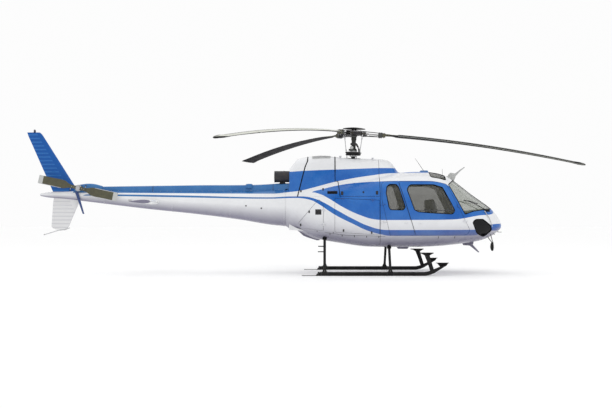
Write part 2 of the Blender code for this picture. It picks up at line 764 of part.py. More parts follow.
def make_mid_body():
    """The body behind the cabin with its holds, the lids of the holds and the fittings on the deck."""
    body = body_solid()
    body.name = "mid_body"
    front = CABIN_BACK - TOUCH
    top = DECK - TOUCH
    region = ((-1.0, -0.1), (front, -0.1), (front, top), (MID_BODY_BACK, top), (MID_BODY_BACK, FAR), (-1.0, FAR))
    keep(body, prism("region", region, "Y", -2.0, 2.0))
    lids = []
    low_x, high_x, low_z, high_z = HOLD_INSIDE
    for word, side in (("right", -1), ("left", 1)):
        recess = prism("recess", grow(HOLD_DOOR, SEAM), "Y", *side_range(side))
        cut(body, cut(recess, body_solid(SKIN + SEAM)))
        inner, outer = sorted((side * HOLD_DEPTH, side * 2.0))
        cut(body, block("hold", (low_x, inner, low_z), (high_x, outer, high_z)))
        door = lid(word + "_hold_door", HOLD_DOOR, side)
        hinge(
            body, door, HOLD_DOOR_AXIS, side, (0.16, 0.84),
            lambda at, side=side: skin_y(at.x, at.z + 0.014, side, 0.025),
            lambda at, side=side: skin_y(at.x, at.z - 0.060, side, 0.020),
        )
        lids.append(door)
    recess = prism("recess", grow(REAR_HOLD_DOOR, SEAM), "Y", *side_range(-1))
    cut(body, cut(recess, body_solid(SKIN + SEAM)))
    cut(body, prism("hold", grow(REAR_HOLD_DOOR, -REAR_HOLD_FRAME), "Y", -2.0, -REAR_HOLD_DEPTH))
    door = lid("rear_hold_door", REAR_HOLD_DOOR, -1)
    hinge(
        body, door, REAR_HOLD_AXIS, -1, (0.10, 0.90),
        lambda at: skin_y(at.x + 0.045, at.z, -1, 0.020),
        lambda at: skin_y(at.x - 0.060, at.z, -1, 0.020),
    )
    lids.append(door)
    cut(body, tube("rear_leg_hole", leg_path(*REAR_LEG), LEG_RADIUS + TOUCH))
    paint(body, "white_paint")
    for door in lids:
        paint(door, "white_paint")


def rotor_frame():
    """From the hub's own axes to the world."""
    return Matrix.Translation((MAST_X, 0.0, HUB_HEIGHT)) @ Matrix.Rotation(MAST_TILT, 4, "Y")


def make_cowls():
    """The engine and gearbox under their cowls, and the fairings before and behind."""
    both = (-2.0, 2.0)
    engine_cowl = layer("engine_cowl", ENGINE_COWL, both, 0.0, COWL_SKIN, True)
    paint(engine_cowl, "white_paint")

    exhaust = body_solid(0.0, True)
    exhaust.name = "exhaust_fairing"
    keep(exhaust, prism("region", EXHAUST_FAIRING, "Y", *both))
    room = body_solid(COWL_SKIN, True)
    keep(room, block("inside", (-0.345, -2.0, 1.0), (0.5, 2.0, FAR)))
    cut(exhaust, room)
    cut(exhaust, rod("pipe_hole", (-1.0, 0, PIPE_HEIGHT), (-0.2, 0, PIPE_HEIGHT), PIPE_RADIUS + TOUCH, 24))
    paint(exhaust, "white_paint")

    spine = body_solid(0.0, True)
    spine.name = "cowl_spine"
    keep(spine, block("region", (0.661 + TOUCH, -SPINE, 2.3), (CABIN_BACK - TOUCH, SPINE, FAR)))
    cut(spine, body_solid(COWL_SKIN, True))
    hole = rod("mast_hole", (0, 0, -1.2), (0, 0, 0.0), MAST_HOLE, 24)
    hole.data.transform(rotor_frame())
    cut(spine, hole)
    for word, side in (("right", -1), ("left", 1)):
        inner, outer = sorted((side * (SPINE + SEAM), side * 2.0))
        door = layer(word + "_gearbox_cowl", GEARBOX_COWL, (inner, outer), 0.0, COWL_SKIN, True)
        hinge(
            spine, door, GEARBOX_COWL_AXIS, side, (0.10, 0.92),
            lambda at, side=side: skin_z(at.x, side * 0.165, 0.020),
            lambda at, side=side: skin_z(at.x, side * 0.245, 0.020),
        )
        paint(door, "white_paint")
    paint(spine, "white_paint")

    fairing = body_solid(0.0, True)
    fairing.name = "front_fairing"
    keep(fairing, block("region", (CABIN_BACK, -0.47, 2.05), (2.5, 0.47, FAR)))
    cut(fairing, body_solid(-TOUCH))
    paint(fairing, "white_paint")

    engine = block("engine", ENGINE_LOW, ENGINE_HIGH)
    paint(engine, "metal")
    gearbox = block("main_gearbox", GEARBOX_LOW, GEARBOX_HIGH)
    top = block("above", (-1, -1, 0), (1, 1, 1))
    top.data.transform(rotor_frame() @ Matrix.Translation((0, 0, GEARBOX_TOP - HUB_HEIGHT)))
    cut(gearbox, top)
    paint(gearbox, "metal")

    pipe = rod("exhaust_pipe", (PIPE_BACK, 0, PIPE_HEIGHT), (PIPE_FRONT - TOUCH, 0, PIPE_HEIGHT), PIPE_RADIUS, 24)
    cut(pipe, rod("bore", (-0.9, 0, PIPE_HEIGHT), (PIPE_CLOSED, 0, PIPE_HEIGHT), PIPE_BORE, 24))
    paint(pipe, "metal")


def cover_ring(x, top, half_width, foot):
    """A rounded hood's section, from its foot up over the top."""
    points = []
    for k in range(11):
        angle = math.pi * k / 10
        reach = lobe_radius(angle, half_width, top - foot, COVER_SQUARENESS)
        points.append((x, reach * math.cos(angle), foot + reach * math.sin(angle)))
    return points


def foil_points(lead, trail, thickness, count=5):
    """A rounded nose and a thin tail, as (along, across) pairs round the section."""
    chord = trail - lead
    upper = []
    for k in range(count + 1):
        share = (k / count) ** 2
        swell = 1.48 * math.sqrt(share) - 0.63 * share - 1.76 * share ** 2 + 1.42 * share ** 3 - 0.46 * share ** 4
        upper.append((lead + chord * share, max(swell, 0.02) * thickness))
    lower = [(along, -across) for along, across in reversed(upper)]
    return upper + lower


def boom_solid(extra=0.0, first=-7.0):
    """The boom with its radius changed, from the first station on."""
    rings = []
    for x, height, radius in BOOM:
        if x < first:
            continue
        angles = [2 * math.pi * k / BOOM_SIDES for k in range(BOOM_SIDES)]
        rings.append([
            (x, (radius + extra) * math.cos(angle), height + (radius + extra) * math.sin(angle))
            for angle in angles
        ])
    return loft("boom", rings)


def fin(name, table, extra=0.0):
    """An upright fin through sections at rising or falling heights."""
    rings = []
    for height, lead, trail, thickness in table:
        section = foil_points(lead + extra, trail - extra, thickness + 2 * extra)
        rings.append([(along, across, height) for along, across in section])
    return loft(name, rings)


def stabilizer_solid(extra=0.0):
    half = STABILIZER_SPAN / 2
    section = foil_points(STABILIZER_LEAD + extra, STABILIZER_TRAIL - extra, STABILIZER_THICKNESS + 2 * extra)
    rings = [[(along, y, STABILIZER_HEIGHT + across) for along, across in section] for y in (-half, half)]
    return loft("stabilizer", rings)


def make_tail():
    """The boom, its covers, the fins, the stabilizer and the tail rotor."""
    boom = boom_solid()
    boom.name = "tail_boom"
    cut(boom, stabilizer_solid(TOUCH))
    room = boom_solid(-BOOM_WALL, BOOM_HOLLOW_FROM)
    room.data.transform(Matrix.Translation((BOOM_WALL, 0, 0)))
    cut(boom, room)
    paint(boom, "white_paint")
    paint(stabilizer_solid(), "white_paint")

    cover = loft("shaft_cover", [cover_ring(x, top, half, COVER_FOOT) for x, top, half in SHAFT_COVER])
    cut(cover, boom_solid(TOUCH))
    cut(cover, body_solid(-TOUCH))
    paint(cover, "blue_paint")

    gearbox = loft("tail_gearbox", [cover_ring(*row, TAIL_GEARBOX_FOOT) for row in TAIL_GEARBOX])
    hub_x, hub_y, hub_z = TAIL_HUB
    join(gearbox, rod("boss", (hub_x, 0, hub_z), (hub_x, BOSS_REACH, hub_z), 0.060, 16))
    cut(gearbox, boom_solid(TOUCH))
    paint(gearbox, "blue_paint")

    upper = fin("upper_fin", UPPER_FIN)
    cut(upper, block("ahead", (-5.340 - 2 * TOUCH, -1, 1.0), (-4.0, 1, 2.2)))
    cut(upper, boom_solid(TOUCH))
    paint(upper, "white_paint")
    guard_path = rounded(GUARD_PATH, GUARD_BEND)
    lower = fin("lower_fin", LOWER_FIN)
    cut(lower, boom_solid(TOUCH))
    cut(lower, tube("guard_hole", guard_path, GUARD_RADIUS + TOUCH))
    paint(lower, "white_paint")
    paint(tube("tail_guard", guard_path, GUARD_RADIUS), "white_paint")

    shaft_end = (hub_x, hub_y + TAIL_HUB_FRONT + TOUCH, hub_z)
    shaft = rod("tail_rotor_hub", (hub_x, BOSS_REACH - TOUCH, hub_z), shaft_end, TAIL_SHAFT, 16)
    join(shaft, rod("plate", (hub_x, hub_y + 0.045, hub_z), shaft_end, TAIL_HUB_PLATE, 16))
    paint(shaft, "metal")
    blades = rod("tail_rotor_blades", (0, TAIL_HUB_FRONT, 0), (0, -0.030, 0), 0.060, 16)
    for turn in (0.0, math.pi):
        rings = []
        for radius, chord, thickness in TAIL_BLADE:
            section = foil_points(chord * 0.3, -chord * 0.7, thickness, 4)
            rings.append([(radius, across, along) for along, across in section])
        blade = loft("blade", rings)
        blade.data.transform(Matrix.Rotation(turn, 4, "Y"))
        join(blades, blade)
    blades.data.transform(Matrix.Translation(TAIL_HUB) @ Matrix.Rotation(TAIL_ROTOR_ANGLE, 4, "Y"))
    paint(blades, "blade")


def droop(radius):
    """How far a blade at rest hangs below the hub's plane."""
    return 0.010 + BLADE_DROOP * (radius / ROTOR_RADIUS) ** DROOP_POWER


def make_rotor():
    """The mast, swashplates, hub and three blades, built on the hub's axes and then set in place."""
    place = rotor_frame()
    swash = SWASH_HEIGHT - HUB_HEIGHT
    foot = GEARBOX_TOP - HUB_HEIGHT
    mast = turned("mast", (
        (MAST_FOOT_RADIUS, foot + TOUCH), (MAST_FOOT_RADIUS, foot + 0.05),
        (MAST_RADIUS, foot + 0.08), (MAST_RADIUS, HUB_BOTTOM - TOUCH),
    ), 16)
    hub = turned("rotor_hub", HUB_PROFILE, 18)
    for azimuth in BLADE_AZIMUTHS:
        turn = Matrix.Rotation(math.radians(azimuth), 4, "Z")
        parts = [prism("star_arm", STAR_ARM, "Z", STAR_LOW, STAR_HIGH)]
        parts += [block(*row) for row in ARM_BLOCKS]
        reach, down = LINK_HIGH
        horn_end = (reach * math.cos(LINK_LAG), reach * math.sin(LINK_LAG), down)
        parts.append(rod("pitch_horn", HORN_START, horn_end, HORN_RADIUS, 10))
        for part in parts:
            part.data.transform(turn)
            join(hub, part)
    dish = turned("hub_cap", ((DISH_PROFILE[0][0], DISH_FOOT + TOUCH), *DISH_PROFILE), 24)

    upper = turned("swashplate_upper", ((0.178, swash + 0.006), (0.185, swash + 0.030), (0.150, swash + 0.040)), 20)
    lower = turned("swashplate_lower", ((0.150, swash - 0.042), (0.170, swash - 0.034), (0.170, swash)), 20)
    for k, azimuth in enumerate(BLADE_AZIMUTHS):
        angle = math.radians(azimuth) + LINK_LAG
        out = Vector((math.cos(angle), math.sin(angle), 0))
        bottom = out * LINK_LOW[0] + Vector((0, 0, swash + LINK_LOW[1]))
        top = out * LINK_HIGH[0] + Vector((0, 0, LINK_HIGH[1]))
        gap = (top - bottom).normalized() * LINK_GAP
        join(upper, rod("link", bottom, top - gap, LINK_RADIUS, 10))
        leg = math.radians(SERVO_TURN + 120.0 * k)
        x, y = SERVO_REACH * math.cos(leg), SERVO_REACH * math.sin(leg)
        join(lower, rod("servo", (x, y, foot + TOUCH), (x, y, swash - 0.030), SERVO_RADIUS, 10))
    for piece in (upper, lower):
        cut(piece, rod("bore", (0, 0, -0.7), (0, 0, -0.1), SWASH_BORE, 24))
    looks = ((mast, "metal"), (hub, "metal"), (dish, "metal"), (upper, "trim"), (lower, "trim"))
    for piece, look in looks:
        piece.data.transform(place)
        paint(piece, look)

    for number, azimuth in enumerate(BLADE_AZIMUTHS, 1):
        rings = []
        for radius, chord, thickness in BLADE:
            pitch = ROOT_PITCH + (TIP_PITCH - ROOT_PITCH) * radius / ROTOR_RADIUS
            ring = []
            for along, across in foil_points(-0.25 * chord, 0.75 * chord, thickness):
                y = along * math.cos(pitch) - across * math.sin(pitch)
                z = -along * math.sin(pitch) + across * math.cos(pitch)
                ring.append((radius, y, z - droop(radius)))
            rings.append(ring)
        blade = loft("rotor_blade_%d" % number, rings)
        blade.data.transform(place @ Matrix.Rotation(math.radians(azimuth), 4, "Z"))
        paint(blade, "blade")


def make_gear():
    """Two skids with their steps, and the two arched cross tubes that carry the body."""
    paint(tube("front_cross_tube", leg_path(*FRONT_LEG), LEG_RADIUS), "black_paint")
    paint(tube("rear_cross_tube", leg_path(*REAR_LEG), LEG_RADIUS), "black_paint")
    for word, side in (("right", -1), ("left", 1)):
        y = side * SKID_Y
        path = rounded(
            ((SKID_BACK, y, SKID_RADIUS), (SKID_BEND, y, SKID_RADIUS), (SKID_TIP[0], y, SKID_TIP[1])), SKID_CURVE
        )
        skid = tube(word + "_skid", path, SKID_RADIUS, 2)
        for x, top, reach in (FRONT_LEG, REAR_LEG):
            saddle = loft("saddle", [
                [(x - w, y - t, z), (x + w, y - t, z), (x + w, y + t, z), (x - w, y + t, z)]
                for z, w, t in SADDLE
            ])
            join(skid, saddle)
            socket = tube("leg_socket", leg_path(x, top, reach, TOUCH), LEG_RADIUS + TOUCH)
            cut(skid, socket)
        foot_x, foot_z, head_x, head_z, radius = STEP_STRUT
        join(skid, rod("step_strut", (foot_x, y, foot_z), (head_x, y + side * 0.010, head_z), radius, 12))
        for name, low_x, high_x, half, low_z, high_z in SKID_PLATES:
            join(skid, block(name, (low_x, y - half, low_z), (high_x, y + half, high_z)))
        paint(skid, "black_paint")


def make_interior():
    """Seats, bench and instrument panel, plain solids at their real places."""
    for word, side in (("right", -1), ("left", 1)):
        low, high = sorted(side * reach for reach in SEAT_SPAN)
        paint(prism(word + "_front_seat", FRONT_SEAT, "Y", low, high), "cloth")
    paint(prism("rear_bench", REAR_BENCH, "Y", *BENCH_SPAN), "cloth")
    panel = prism("instrument_panel", PANEL, "Y", *PANEL_SPAN)
    join(panel, prism("console", CONSOLE, "Y", *CONSOLE_SPAN))
    paint(panel, "trim")


def make_fittings():
    """The aerial, wire cutters, belly hard point and mirror."""
    back, front = AERIAL_ENDS
    aerial = loft("roof_aerial", [
        [(back, -half, z), (front, -half, z), (front, half, z), (back, half, z)] for z, half in AERIAL_BASE
    ])
    cut(aerial, body_solid(-TOUCH))
    join(aerial, rod("whip", *WHIP, WHIP_RADIUS, 8))
    paint(aerial, "blue_paint")

    cutter = prism("upper_wire_cutter", UPPER_CUTTER, "Y", -UPPER_CUTTER_HALF, UPPER_CUTTER_HALF)
    cut(cutter, body_solid(-TOUCH))
    paint(cutter, "white_paint")
    lower = prism("lower_wire_cutter", LOWER_CUTTER, "Y", -LOWER_CUTTER_HALF, LOWER_CUTTER_HALF)
    cut(lower, body_solid(-TOUCH))
    paint(lower, "black_paint")

    lump = loft("belly_hard_point", [
        [(low, -half, z), (high, -half, z), (high, half, z), (low, half, z)] for z, low, high, half in HARD_POINT
    ])
    cut(lump, body_solid(-TOUCH))
    paint(lump, "black_paint")

    mirror = turned("nose_mirror", MIRROR_PROFILE, 20)
    mirror.data.transform(Matrix.Translation(MIRROR_CENTRE) @ Matrix.Rotation(math.radians(90), 4, "Y"))
    for start, end in MIRROR_ARMS:
        join(mirror, rod("arm", start, end, MIRROR_ARM_RADIUS, 8))
    cut(mirror, body_solid(-TOUCH))
    paint(mirror, "black_paint")


def paint(piece, look):
    """Gives the piece its material, and smooth shading with sharp corners kept."""
    piece.data.materials.clear()
    piece.data.materials.append(finish(look))
    piece.data.shade_smooth()
    piece.data.set_sharp_from_angle(angle=math.radians(35.0))


clear_scene()
make_cabin()
make_mid_body()
make_cowls()
make_tail()
make_rotor()
make_gear()
make_interior()
make_fittings()
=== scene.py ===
"""Looks for a light single-turbine helicopter on high skids, in blue and white paint.

Everything is in metres in the frame of the CAD model: +X to the nose, +Y to port, +Z up. The outer skin is one
smooth surface through a table of sections. Each panel is a stretch of that surface inside a side-view outline.
"""

import json
import math
import random

import bmesh
import bpy
import numpy as np
from mathutils import Matrix, Vector
from mathutils.geometry import delaunay_2d_cdt

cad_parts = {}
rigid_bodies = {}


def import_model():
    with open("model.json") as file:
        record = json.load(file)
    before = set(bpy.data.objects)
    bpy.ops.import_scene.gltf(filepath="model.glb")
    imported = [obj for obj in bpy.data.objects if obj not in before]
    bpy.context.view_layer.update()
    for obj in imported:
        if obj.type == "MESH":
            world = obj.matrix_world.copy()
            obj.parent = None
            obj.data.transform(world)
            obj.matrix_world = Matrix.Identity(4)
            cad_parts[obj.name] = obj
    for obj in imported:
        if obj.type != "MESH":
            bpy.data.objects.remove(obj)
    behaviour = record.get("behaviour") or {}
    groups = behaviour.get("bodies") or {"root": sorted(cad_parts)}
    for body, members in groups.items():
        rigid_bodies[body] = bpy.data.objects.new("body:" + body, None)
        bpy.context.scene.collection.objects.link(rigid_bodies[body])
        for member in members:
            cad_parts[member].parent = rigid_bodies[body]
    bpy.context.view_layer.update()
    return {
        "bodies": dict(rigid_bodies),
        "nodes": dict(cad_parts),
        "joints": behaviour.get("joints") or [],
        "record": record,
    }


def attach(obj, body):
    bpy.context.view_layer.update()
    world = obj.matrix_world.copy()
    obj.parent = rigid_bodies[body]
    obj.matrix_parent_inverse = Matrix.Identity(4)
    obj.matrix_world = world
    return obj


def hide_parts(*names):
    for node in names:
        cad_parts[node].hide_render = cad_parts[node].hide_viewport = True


FAR = 3.0

# Sections of the hull without its cowls, from tail to nose. An upper or lower squareness of 2 is an ellipse.
HULL = (
    # x, bottom, top, widest height, half width, upper squareness, lower squareness
    (-0.45, 1.060, 1.930, 1.490, 0.430, 2.0, 2.0),
    (-0.37, 1.010, 1.940, 1.480, 0.460, 2.1, 2.1),
    (-0.14, 0.950, 1.970, 1.440, 0.550, 2.3, 2.3),
    (0.02, 0.860, 1.990, 1.400, 0.620, 2.4, 2.5),
    (0.20, 0.790, 2.010, 1.360, 0.690, 2.5, 2.7),
    (0.44, 0.745, 2.040, 1.330, 0.760, 2.6, 2.9),
    (0.90, 0.670, 2.100, 1.300, 0.850, 2.7, 3.2),
    (1.30, 0.615, 2.160, 1.280, 0.890, 2.8, 3.4),
    (1.72, 0.600, 2.230, 1.270, 0.915, 2.9, 3.5),
    (2.16, 0.600, 2.290, 1.260, 0.920, 2.9, 3.5),
    (2.51, 0.600, 2.313, 1.250, 0.915, 2.9, 3.4),
    (2.85, 0.610, 2.300, 1.240, 0.900, 2.8, 3.2),
    (3.08, 0.623, 2.255, 1.220, 0.875, 2.7, 3.0),
    (3.31, 0.645, 2.155, 1.200, 0.845, 2.6, 2.8),
    (3.54, 0.670, 1.990, 1.170, 0.800, 2.4, 2.6),
    (3.77, 0.700, 1.810, 1.140, 0.730, 2.3, 2.5),
    (4.00, 0.745, 1.646, 1.110, 0.630, 2.2, 2.4),
    (4.15, 0.800, 1.540, 1.090, 0.540, 2.1, 2.3),
    (4.28, 0.865, 1.430, 1.080, 0.430, 2.0, 2.2),
    (4.38, 0.940, 1.310, 1.075, 0.310, 2.0, 2.0),
    (4.45, 1.000, 1.200, 1.070, 0.170, 2.0, 2.0),
    (4.474, 1.040, 1.110, 1.070, 0.060, 2.0, 2.0),
    (4.479, 1.074, 1.075, 1.0745, 0.0008, 2.0, 2.0),
)
# The raised lobe of the cowls over the hull
COWL = (
    # x, top, half width, squareness
    (-0.46, 2.250, 0.260, 2.4),
    (-0.37, 2.390, 0.300, 2.4),
    (-0.290, 2.493, 0.339, 2.5),
    (-0.228, 2.573, 0.370, 2.57),
    (-0.207, 2.600, 0.380, 2.6),
    (-0.185, 2.606, 0.386, 2.63),
    (-0.140, 2.620, 0.400, 2.70),
    (-0.07, 2.640, 0.420, 2.8),
    (0.10, 2.662, 0.450, 3.0),
    (0.40, 2.680, 0.480, 3.0),
    (0.667, 2.660, 0.500, 3.0),
    (0.90, 2.634, 0.500, 3.0),
    (1.20, 2.620, 0.500, 3.0),
    (1.60, 2.610, 0.480, 3.0),
    (1.80, 2.592, 0.450, 2.8),
    (1.93, 2.543, 0.420, 2.6),
    (2.046, 2.405, 0.380, 2.4),
    (2.10, 2.300, 0.340, 2.2),
    (2.16, 2.200, 0.300, 2.0),
)
BLEND_POWER = 24

# Side-view outlines, each a loop of (x, z)
CABIN_BACK = 1.660
FLOOR_TOP = 0.862
DECK = 1.740
FRONT_DOOR = (
    (2.075, 2.073), (2.870, 2.073), (3.040, 2.040), (3.140, 2.017),
    (3.655, 0.990), (3.615, 0.915), (3.540, 0.876), (2.453, 0.872),
)
REAR_DOOR = (
    (1.700, 2.020), (1.740, 2.073), (2.060, 2.073), (2.439, 0.872),
    (1.883, 0.872), (1.800, 1.220), (1.700, 1.660),
)
FRONT_WINDOW = (
    (2.250, 1.894), (2.290, 1.972), (2.341, 2.007), (2.851, 2.007), (3.051, 1.945),
    (3.321, 1.424), (3.264, 1.344), (2.767, 1.373), (2.501, 1.395), (2.410, 1.442),
)
REAR_WINDOW = (
    (1.809, 1.963), (1.867, 2.014), (2.024, 2.014), (2.071, 1.952), (2.217, 1.499),
    (2.161, 1.435), (1.878, 1.442), (1.844, 1.511), (1.787, 1.816),
)
WINDSHIELD = (
    (3.185, 2.010), (3.545, 1.340), (3.730, 1.405), (3.905, 1.430),
    (4.600, 1.500), (4.600, 2.500), (3.360, 2.500), (3.330, 2.120),
)
CHIN_WINDOW = (
    (3.714, 1.171), (3.792, 1.238), (3.971, 1.238), (4.150, 1.104),
    (4.195, 0.992), (3.994, 0.825), (3.815, 0.925),
)
HOLD_DOOR = ((0.660, 1.700), (1.645, 1.655), (1.645, 0.890), (0.660, 0.950))
REAR_HOLD_DOOR = ((0.400, 1.550), (0.300, 1.680), (-0.160, 1.140), (-0.100, 1.030), (0.400, 0.980))
ENGINE_COWL = (
    (-0.182, DECK), (0.776, DECK), (0.729, 2.080), (0.661, 2.090),
    (0.661, FAR), (0.045, FAR), (0.041, 2.640),
)
EXHAUST_FAIRING = ((-0.375, DECK), (-0.183, DECK), (0.040, 2.640), (0.044, FAR), (-0.375, FAR))
GEARBOX_COWL = (
    (0.782, DECK), (0.735, 2.086), (0.667, 2.096), (0.667, FAR), (1.654, FAR), (1.654, DECK),
)


def clear_scene():
    for item in list(bpy.data.objects):
        bpy.data.objects.remove(item)


clear_scene()
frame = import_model()


# The smooth skin


def smooth_between(knots, values, places):
    """Values at places on a smooth curve through the values at the knots."""
    step = np.diff(knots)
    slope = np.diff(values, axis=0) / step[:, None]
    tangent = np.vstack([slope[:1], (slope[:-1] * step[1:, None] + slope[1:] * step[:-1, None])
                         / (step[1:] + step[:-1])[:, None], slope[-1:]])
    index = np.clip(np.searchsorted(knots, places) - 1, 0, len(step) - 1)
    width = step[index][:, None]
    t = np.clip(((places - knots[index]) / step[index]), 0, 1)[:, None]
    low, high = values[index], values[index + 1]
    return (low * (1 + 2 * t) * (1 - t) ** 2 + high * t * t * (3 - 2 * t)
            + tangent[index] * width * t * (1 - t) ** 2 + tangent[index + 1] * width * t * t * (t - 1))


class Skin:
    """The outer surface. A place on it is how far along the body, then the angle up from port in radians."""

    def __init__(self, with_cowl):
        self.rows = np.array(HULL, float)
        across = np.diff(self.rows[:, [0, 1, 2, 4]], axis=0)
        self.knots = np.concatenate([[0.0], np.cumsum(np.sqrt((across ** 2).sum(1)))])
        self.cowl = np.array(COWL, float) if with_cowl else None
        self.dense = np.linspace(0, self.knots[-1], 6000)
        self.dense_x = np.maximum.accumulate(smooth_between(self.knots, self.rows, self.dense)[:, 0])

    def along(self, x):
        """How far along the body each x lies."""
        return np.interp(x, self.dense_x, self.dense)

    def point(self, along, angle):
        x, bottom, top, wide, half, upper, lower = smooth_between(self.knots, self.rows, along).T
        sine, cosine = np.sin(angle), np.cos(angle)
        height = np.where(sine < 0, wide - bottom, top - wide)
        power = np.where(sine < 0, lower, upper)
        reach = ((np.abs(cosine) / half) ** power + (np.abs(sine) / height) ** power) ** (-1 / power)
        if self.cowl is not None:
            _, cowl_top, cowl_half, square = smooth_between(self.cowl[:, 0], self.cowl, x).T
            inside = (x >= self.cowl[0, 0]) & (x <= self.cowl[-1, 0]) & (sine > 0)
            lobe = ((np.abs(cosine) / cowl_half) ** square
                    + (np.abs(sine) / np.maximum(cowl_top - wide, 0.01)) ** square) ** (-1 / square)
            both = (reach ** BLEND_POWER + lobe ** BLEND_POWER) ** (1 / BLEND_POWER)
            reach = np.where(inside, both, reach)
        return np.stack([x, reach * cosine, wide + reach * sine], -1)

    def normal(self, along, angle):
        small = 0.0005
        here = np.clip(along, small, self.knots[-1] - 0.001)
        forward = self.point(here + small, angle) - self.point(here - small, angle)
        around = self.point(here, angle + small) - self.point(here, angle - small)
        normal = np.cross(around, forward)
        return normal / np.maximum(np.linalg.norm(normal, axis=-1, keepdims=True), 1e-12)

    def place(self, flat):
        """Points and normals of the skin at pairs of along and scaled angle."""
        angle = flat[:, 1] / ANGLE_SCALE
        points = self.point(flat[:, 0], angle)
        normals = self.normal(flat[:, 0], angle)
        middle = np.abs(np.abs(angle) - math.pi / 2) < 1e-5
        points[middle, 1] = 0.0
        normals[middle, 1] = 0.0
        return points, normals

    def search(self, x, low, high, too_low):
        """The angle between two bounds where too_low, a test of the point there, turns false."""
        along = self.along(np.asarray(x, float))
        low = np.full(along.shape, low)
        high = np.full(along.shape, high)
        for _ in range(30):
            middle = (low + high) / 2
            below = too_low(self.point(along, middle))
            low = np.where(below, middle, low)
            high = np.where(below, high, middle)
        return np.stack([along, low * ANGLE_SCALE], -1)

    def from_side(self, pairs):
        """Where side-view pairs of x and height lie on the port side."""
        return self.search(pairs[:, 0], -math.pi / 2, math.pi / 2, lambda at: at[..., 2] < pairs[:, 1])

    def from_above(self, pairs):
        """Where plan-view pairs of x and y lie on top of the port side."""
        return self.search(pairs[:, 0], 0.0, math.pi / 2, lambda at: at[..., 1] > pairs[:, 1])

    def from_below(self, pairs):
        """Where plan-view pairs of x and y lie underneath the port side."""
        found = self.search(pairs[:, 0], -math.pi / 2, 0.0, lambda at: at[..., 1] < pairs[:, 1])
        return found


ANGLE_SCALE = 0.9
HULL_SKIN = Skin(False)
COWL_SKIN = Skin(True)


# Outlines and sheets


def grow(outline, distance):
    """The outline moved outward by the distance, or inward where it is negative."""
    points = np.array(outline, float)
    after = np.roll(points, -1, 0)
    turn = 1.0 if np.sum(points[:, 0] * after[:, 1] - after[:, 0] * points[:, 1]) > 0 else -1.0
    ahead = after - points
    ahead /= np.linalg.norm(ahead, axis=1, keepdims=True)
    outward = np.stack([ahead[:, 1], -ahead[:, 0]], 1) * turn
    before = np.roll(outward, 1, 0)
    middle = outward + before
    middle /= np.linalg.norm(middle, axis=1, keepdims=True)
    share = np.maximum(0.4, (middle * before).sum(1))
    return points + middle * (distance / share)[:, None]


def filleted(outline, radius, steps=6):
    """The outline with each corner rounded."""
    points = np.array(outline, float)
    if not radius:
        return points
    made = []
    for k, corner in enumerate(points):
        back, ahead = points[k - 1] - corner, points[(k + 1) % len(points)] - corner
        back_length, ahead_length = np.linalg.norm(back), np.linalg.norm(ahead)
        back, ahead = back / back_length, ahead / ahead_length
        half = math.acos(max(-1.0, min(1.0, float(back @ ahead)))) / 2
        reach = min(radius / max(math.tan(half), 0.01), 0.45 * back_length, 0.45 * ahead_length)
        start, end = corner + back * reach, corner + ahead * reach
        for step in range(steps + 1):
            t = step / steps
            made.append(start * (1 - t) ** 2 + corner * 2 * t * (1 - t) + end * t * t)
    return np.array(made)


def circle(centre, radius, count=24):
    angles = np.arange(count) * 2 * math.pi / count
    return np.stack([centre[0] + radius * np.cos(angles), centre[1] + radius * np.sin(angles)], 1)


def traced(outline, lay, place, reach=0.022, closed=True):
    """The outline laid on a surface by lay, with points close enough together to follow it."""
    pairs = np.array(outline, float)
    for _ in range(13):
        flat = lay(pairs)
        spots = place(flat)[0]
        after = np.roll(pairs, -1, 0)
        gap = np.linalg.norm(np.roll(spots, -1, 0) - spots, axis=1)
        split = (gap > reach) & (np.linalg.norm(after - pairs, axis=1) > 0.0006)
        if not closed:
            split[-1] = False
        if not split.any():
            break
        both = np.stack([pairs, (pairs + after) / 2], 1).reshape(-1, 2)
        pairs = both[np.stack([np.ones(len(split), bool), split], 1).reshape(-1)]
    kept = gap > 0.0008
    if not closed:
        kept[-1] = True
    return flat[kept]


def on_side(skin, outline, radius=0.0, reach=0.022, within=None):
    """A side-view outline on the port side, kept between a lowest and a highest distance if given."""
    flat = traced(filleted(outline, radius), skin.from_side, skin.place, reach)
    if within:
        x = skin.point(flat[:, 0], flat[:, 1] / ANGLE_SCALE)[:, 0]
        pairs = np.stack([x, np.full(len(x), within)], 1)
        flat[:, 1] = np.clip(flat[:, 1], skin.from_below(pairs)[:, 1], skin.from_above(pairs)[:, 1])
    return flat


def inside(points, loop):
    """Which points lie inside a closed loop."""
    found = np.zeros(len(points), bool)
    after = np.roll(loop, -1, 0)
    for (ax, ay), (bx, by) in zip(loop, after):
        if ay != by:
            crossing = (ay > points[:, 1]) != (by > points[:, 1])
            found ^= crossing & (points[:, 0] < (bx - ax) * (points[:, 1] - ay) / (by - ay) + ax)
    return found


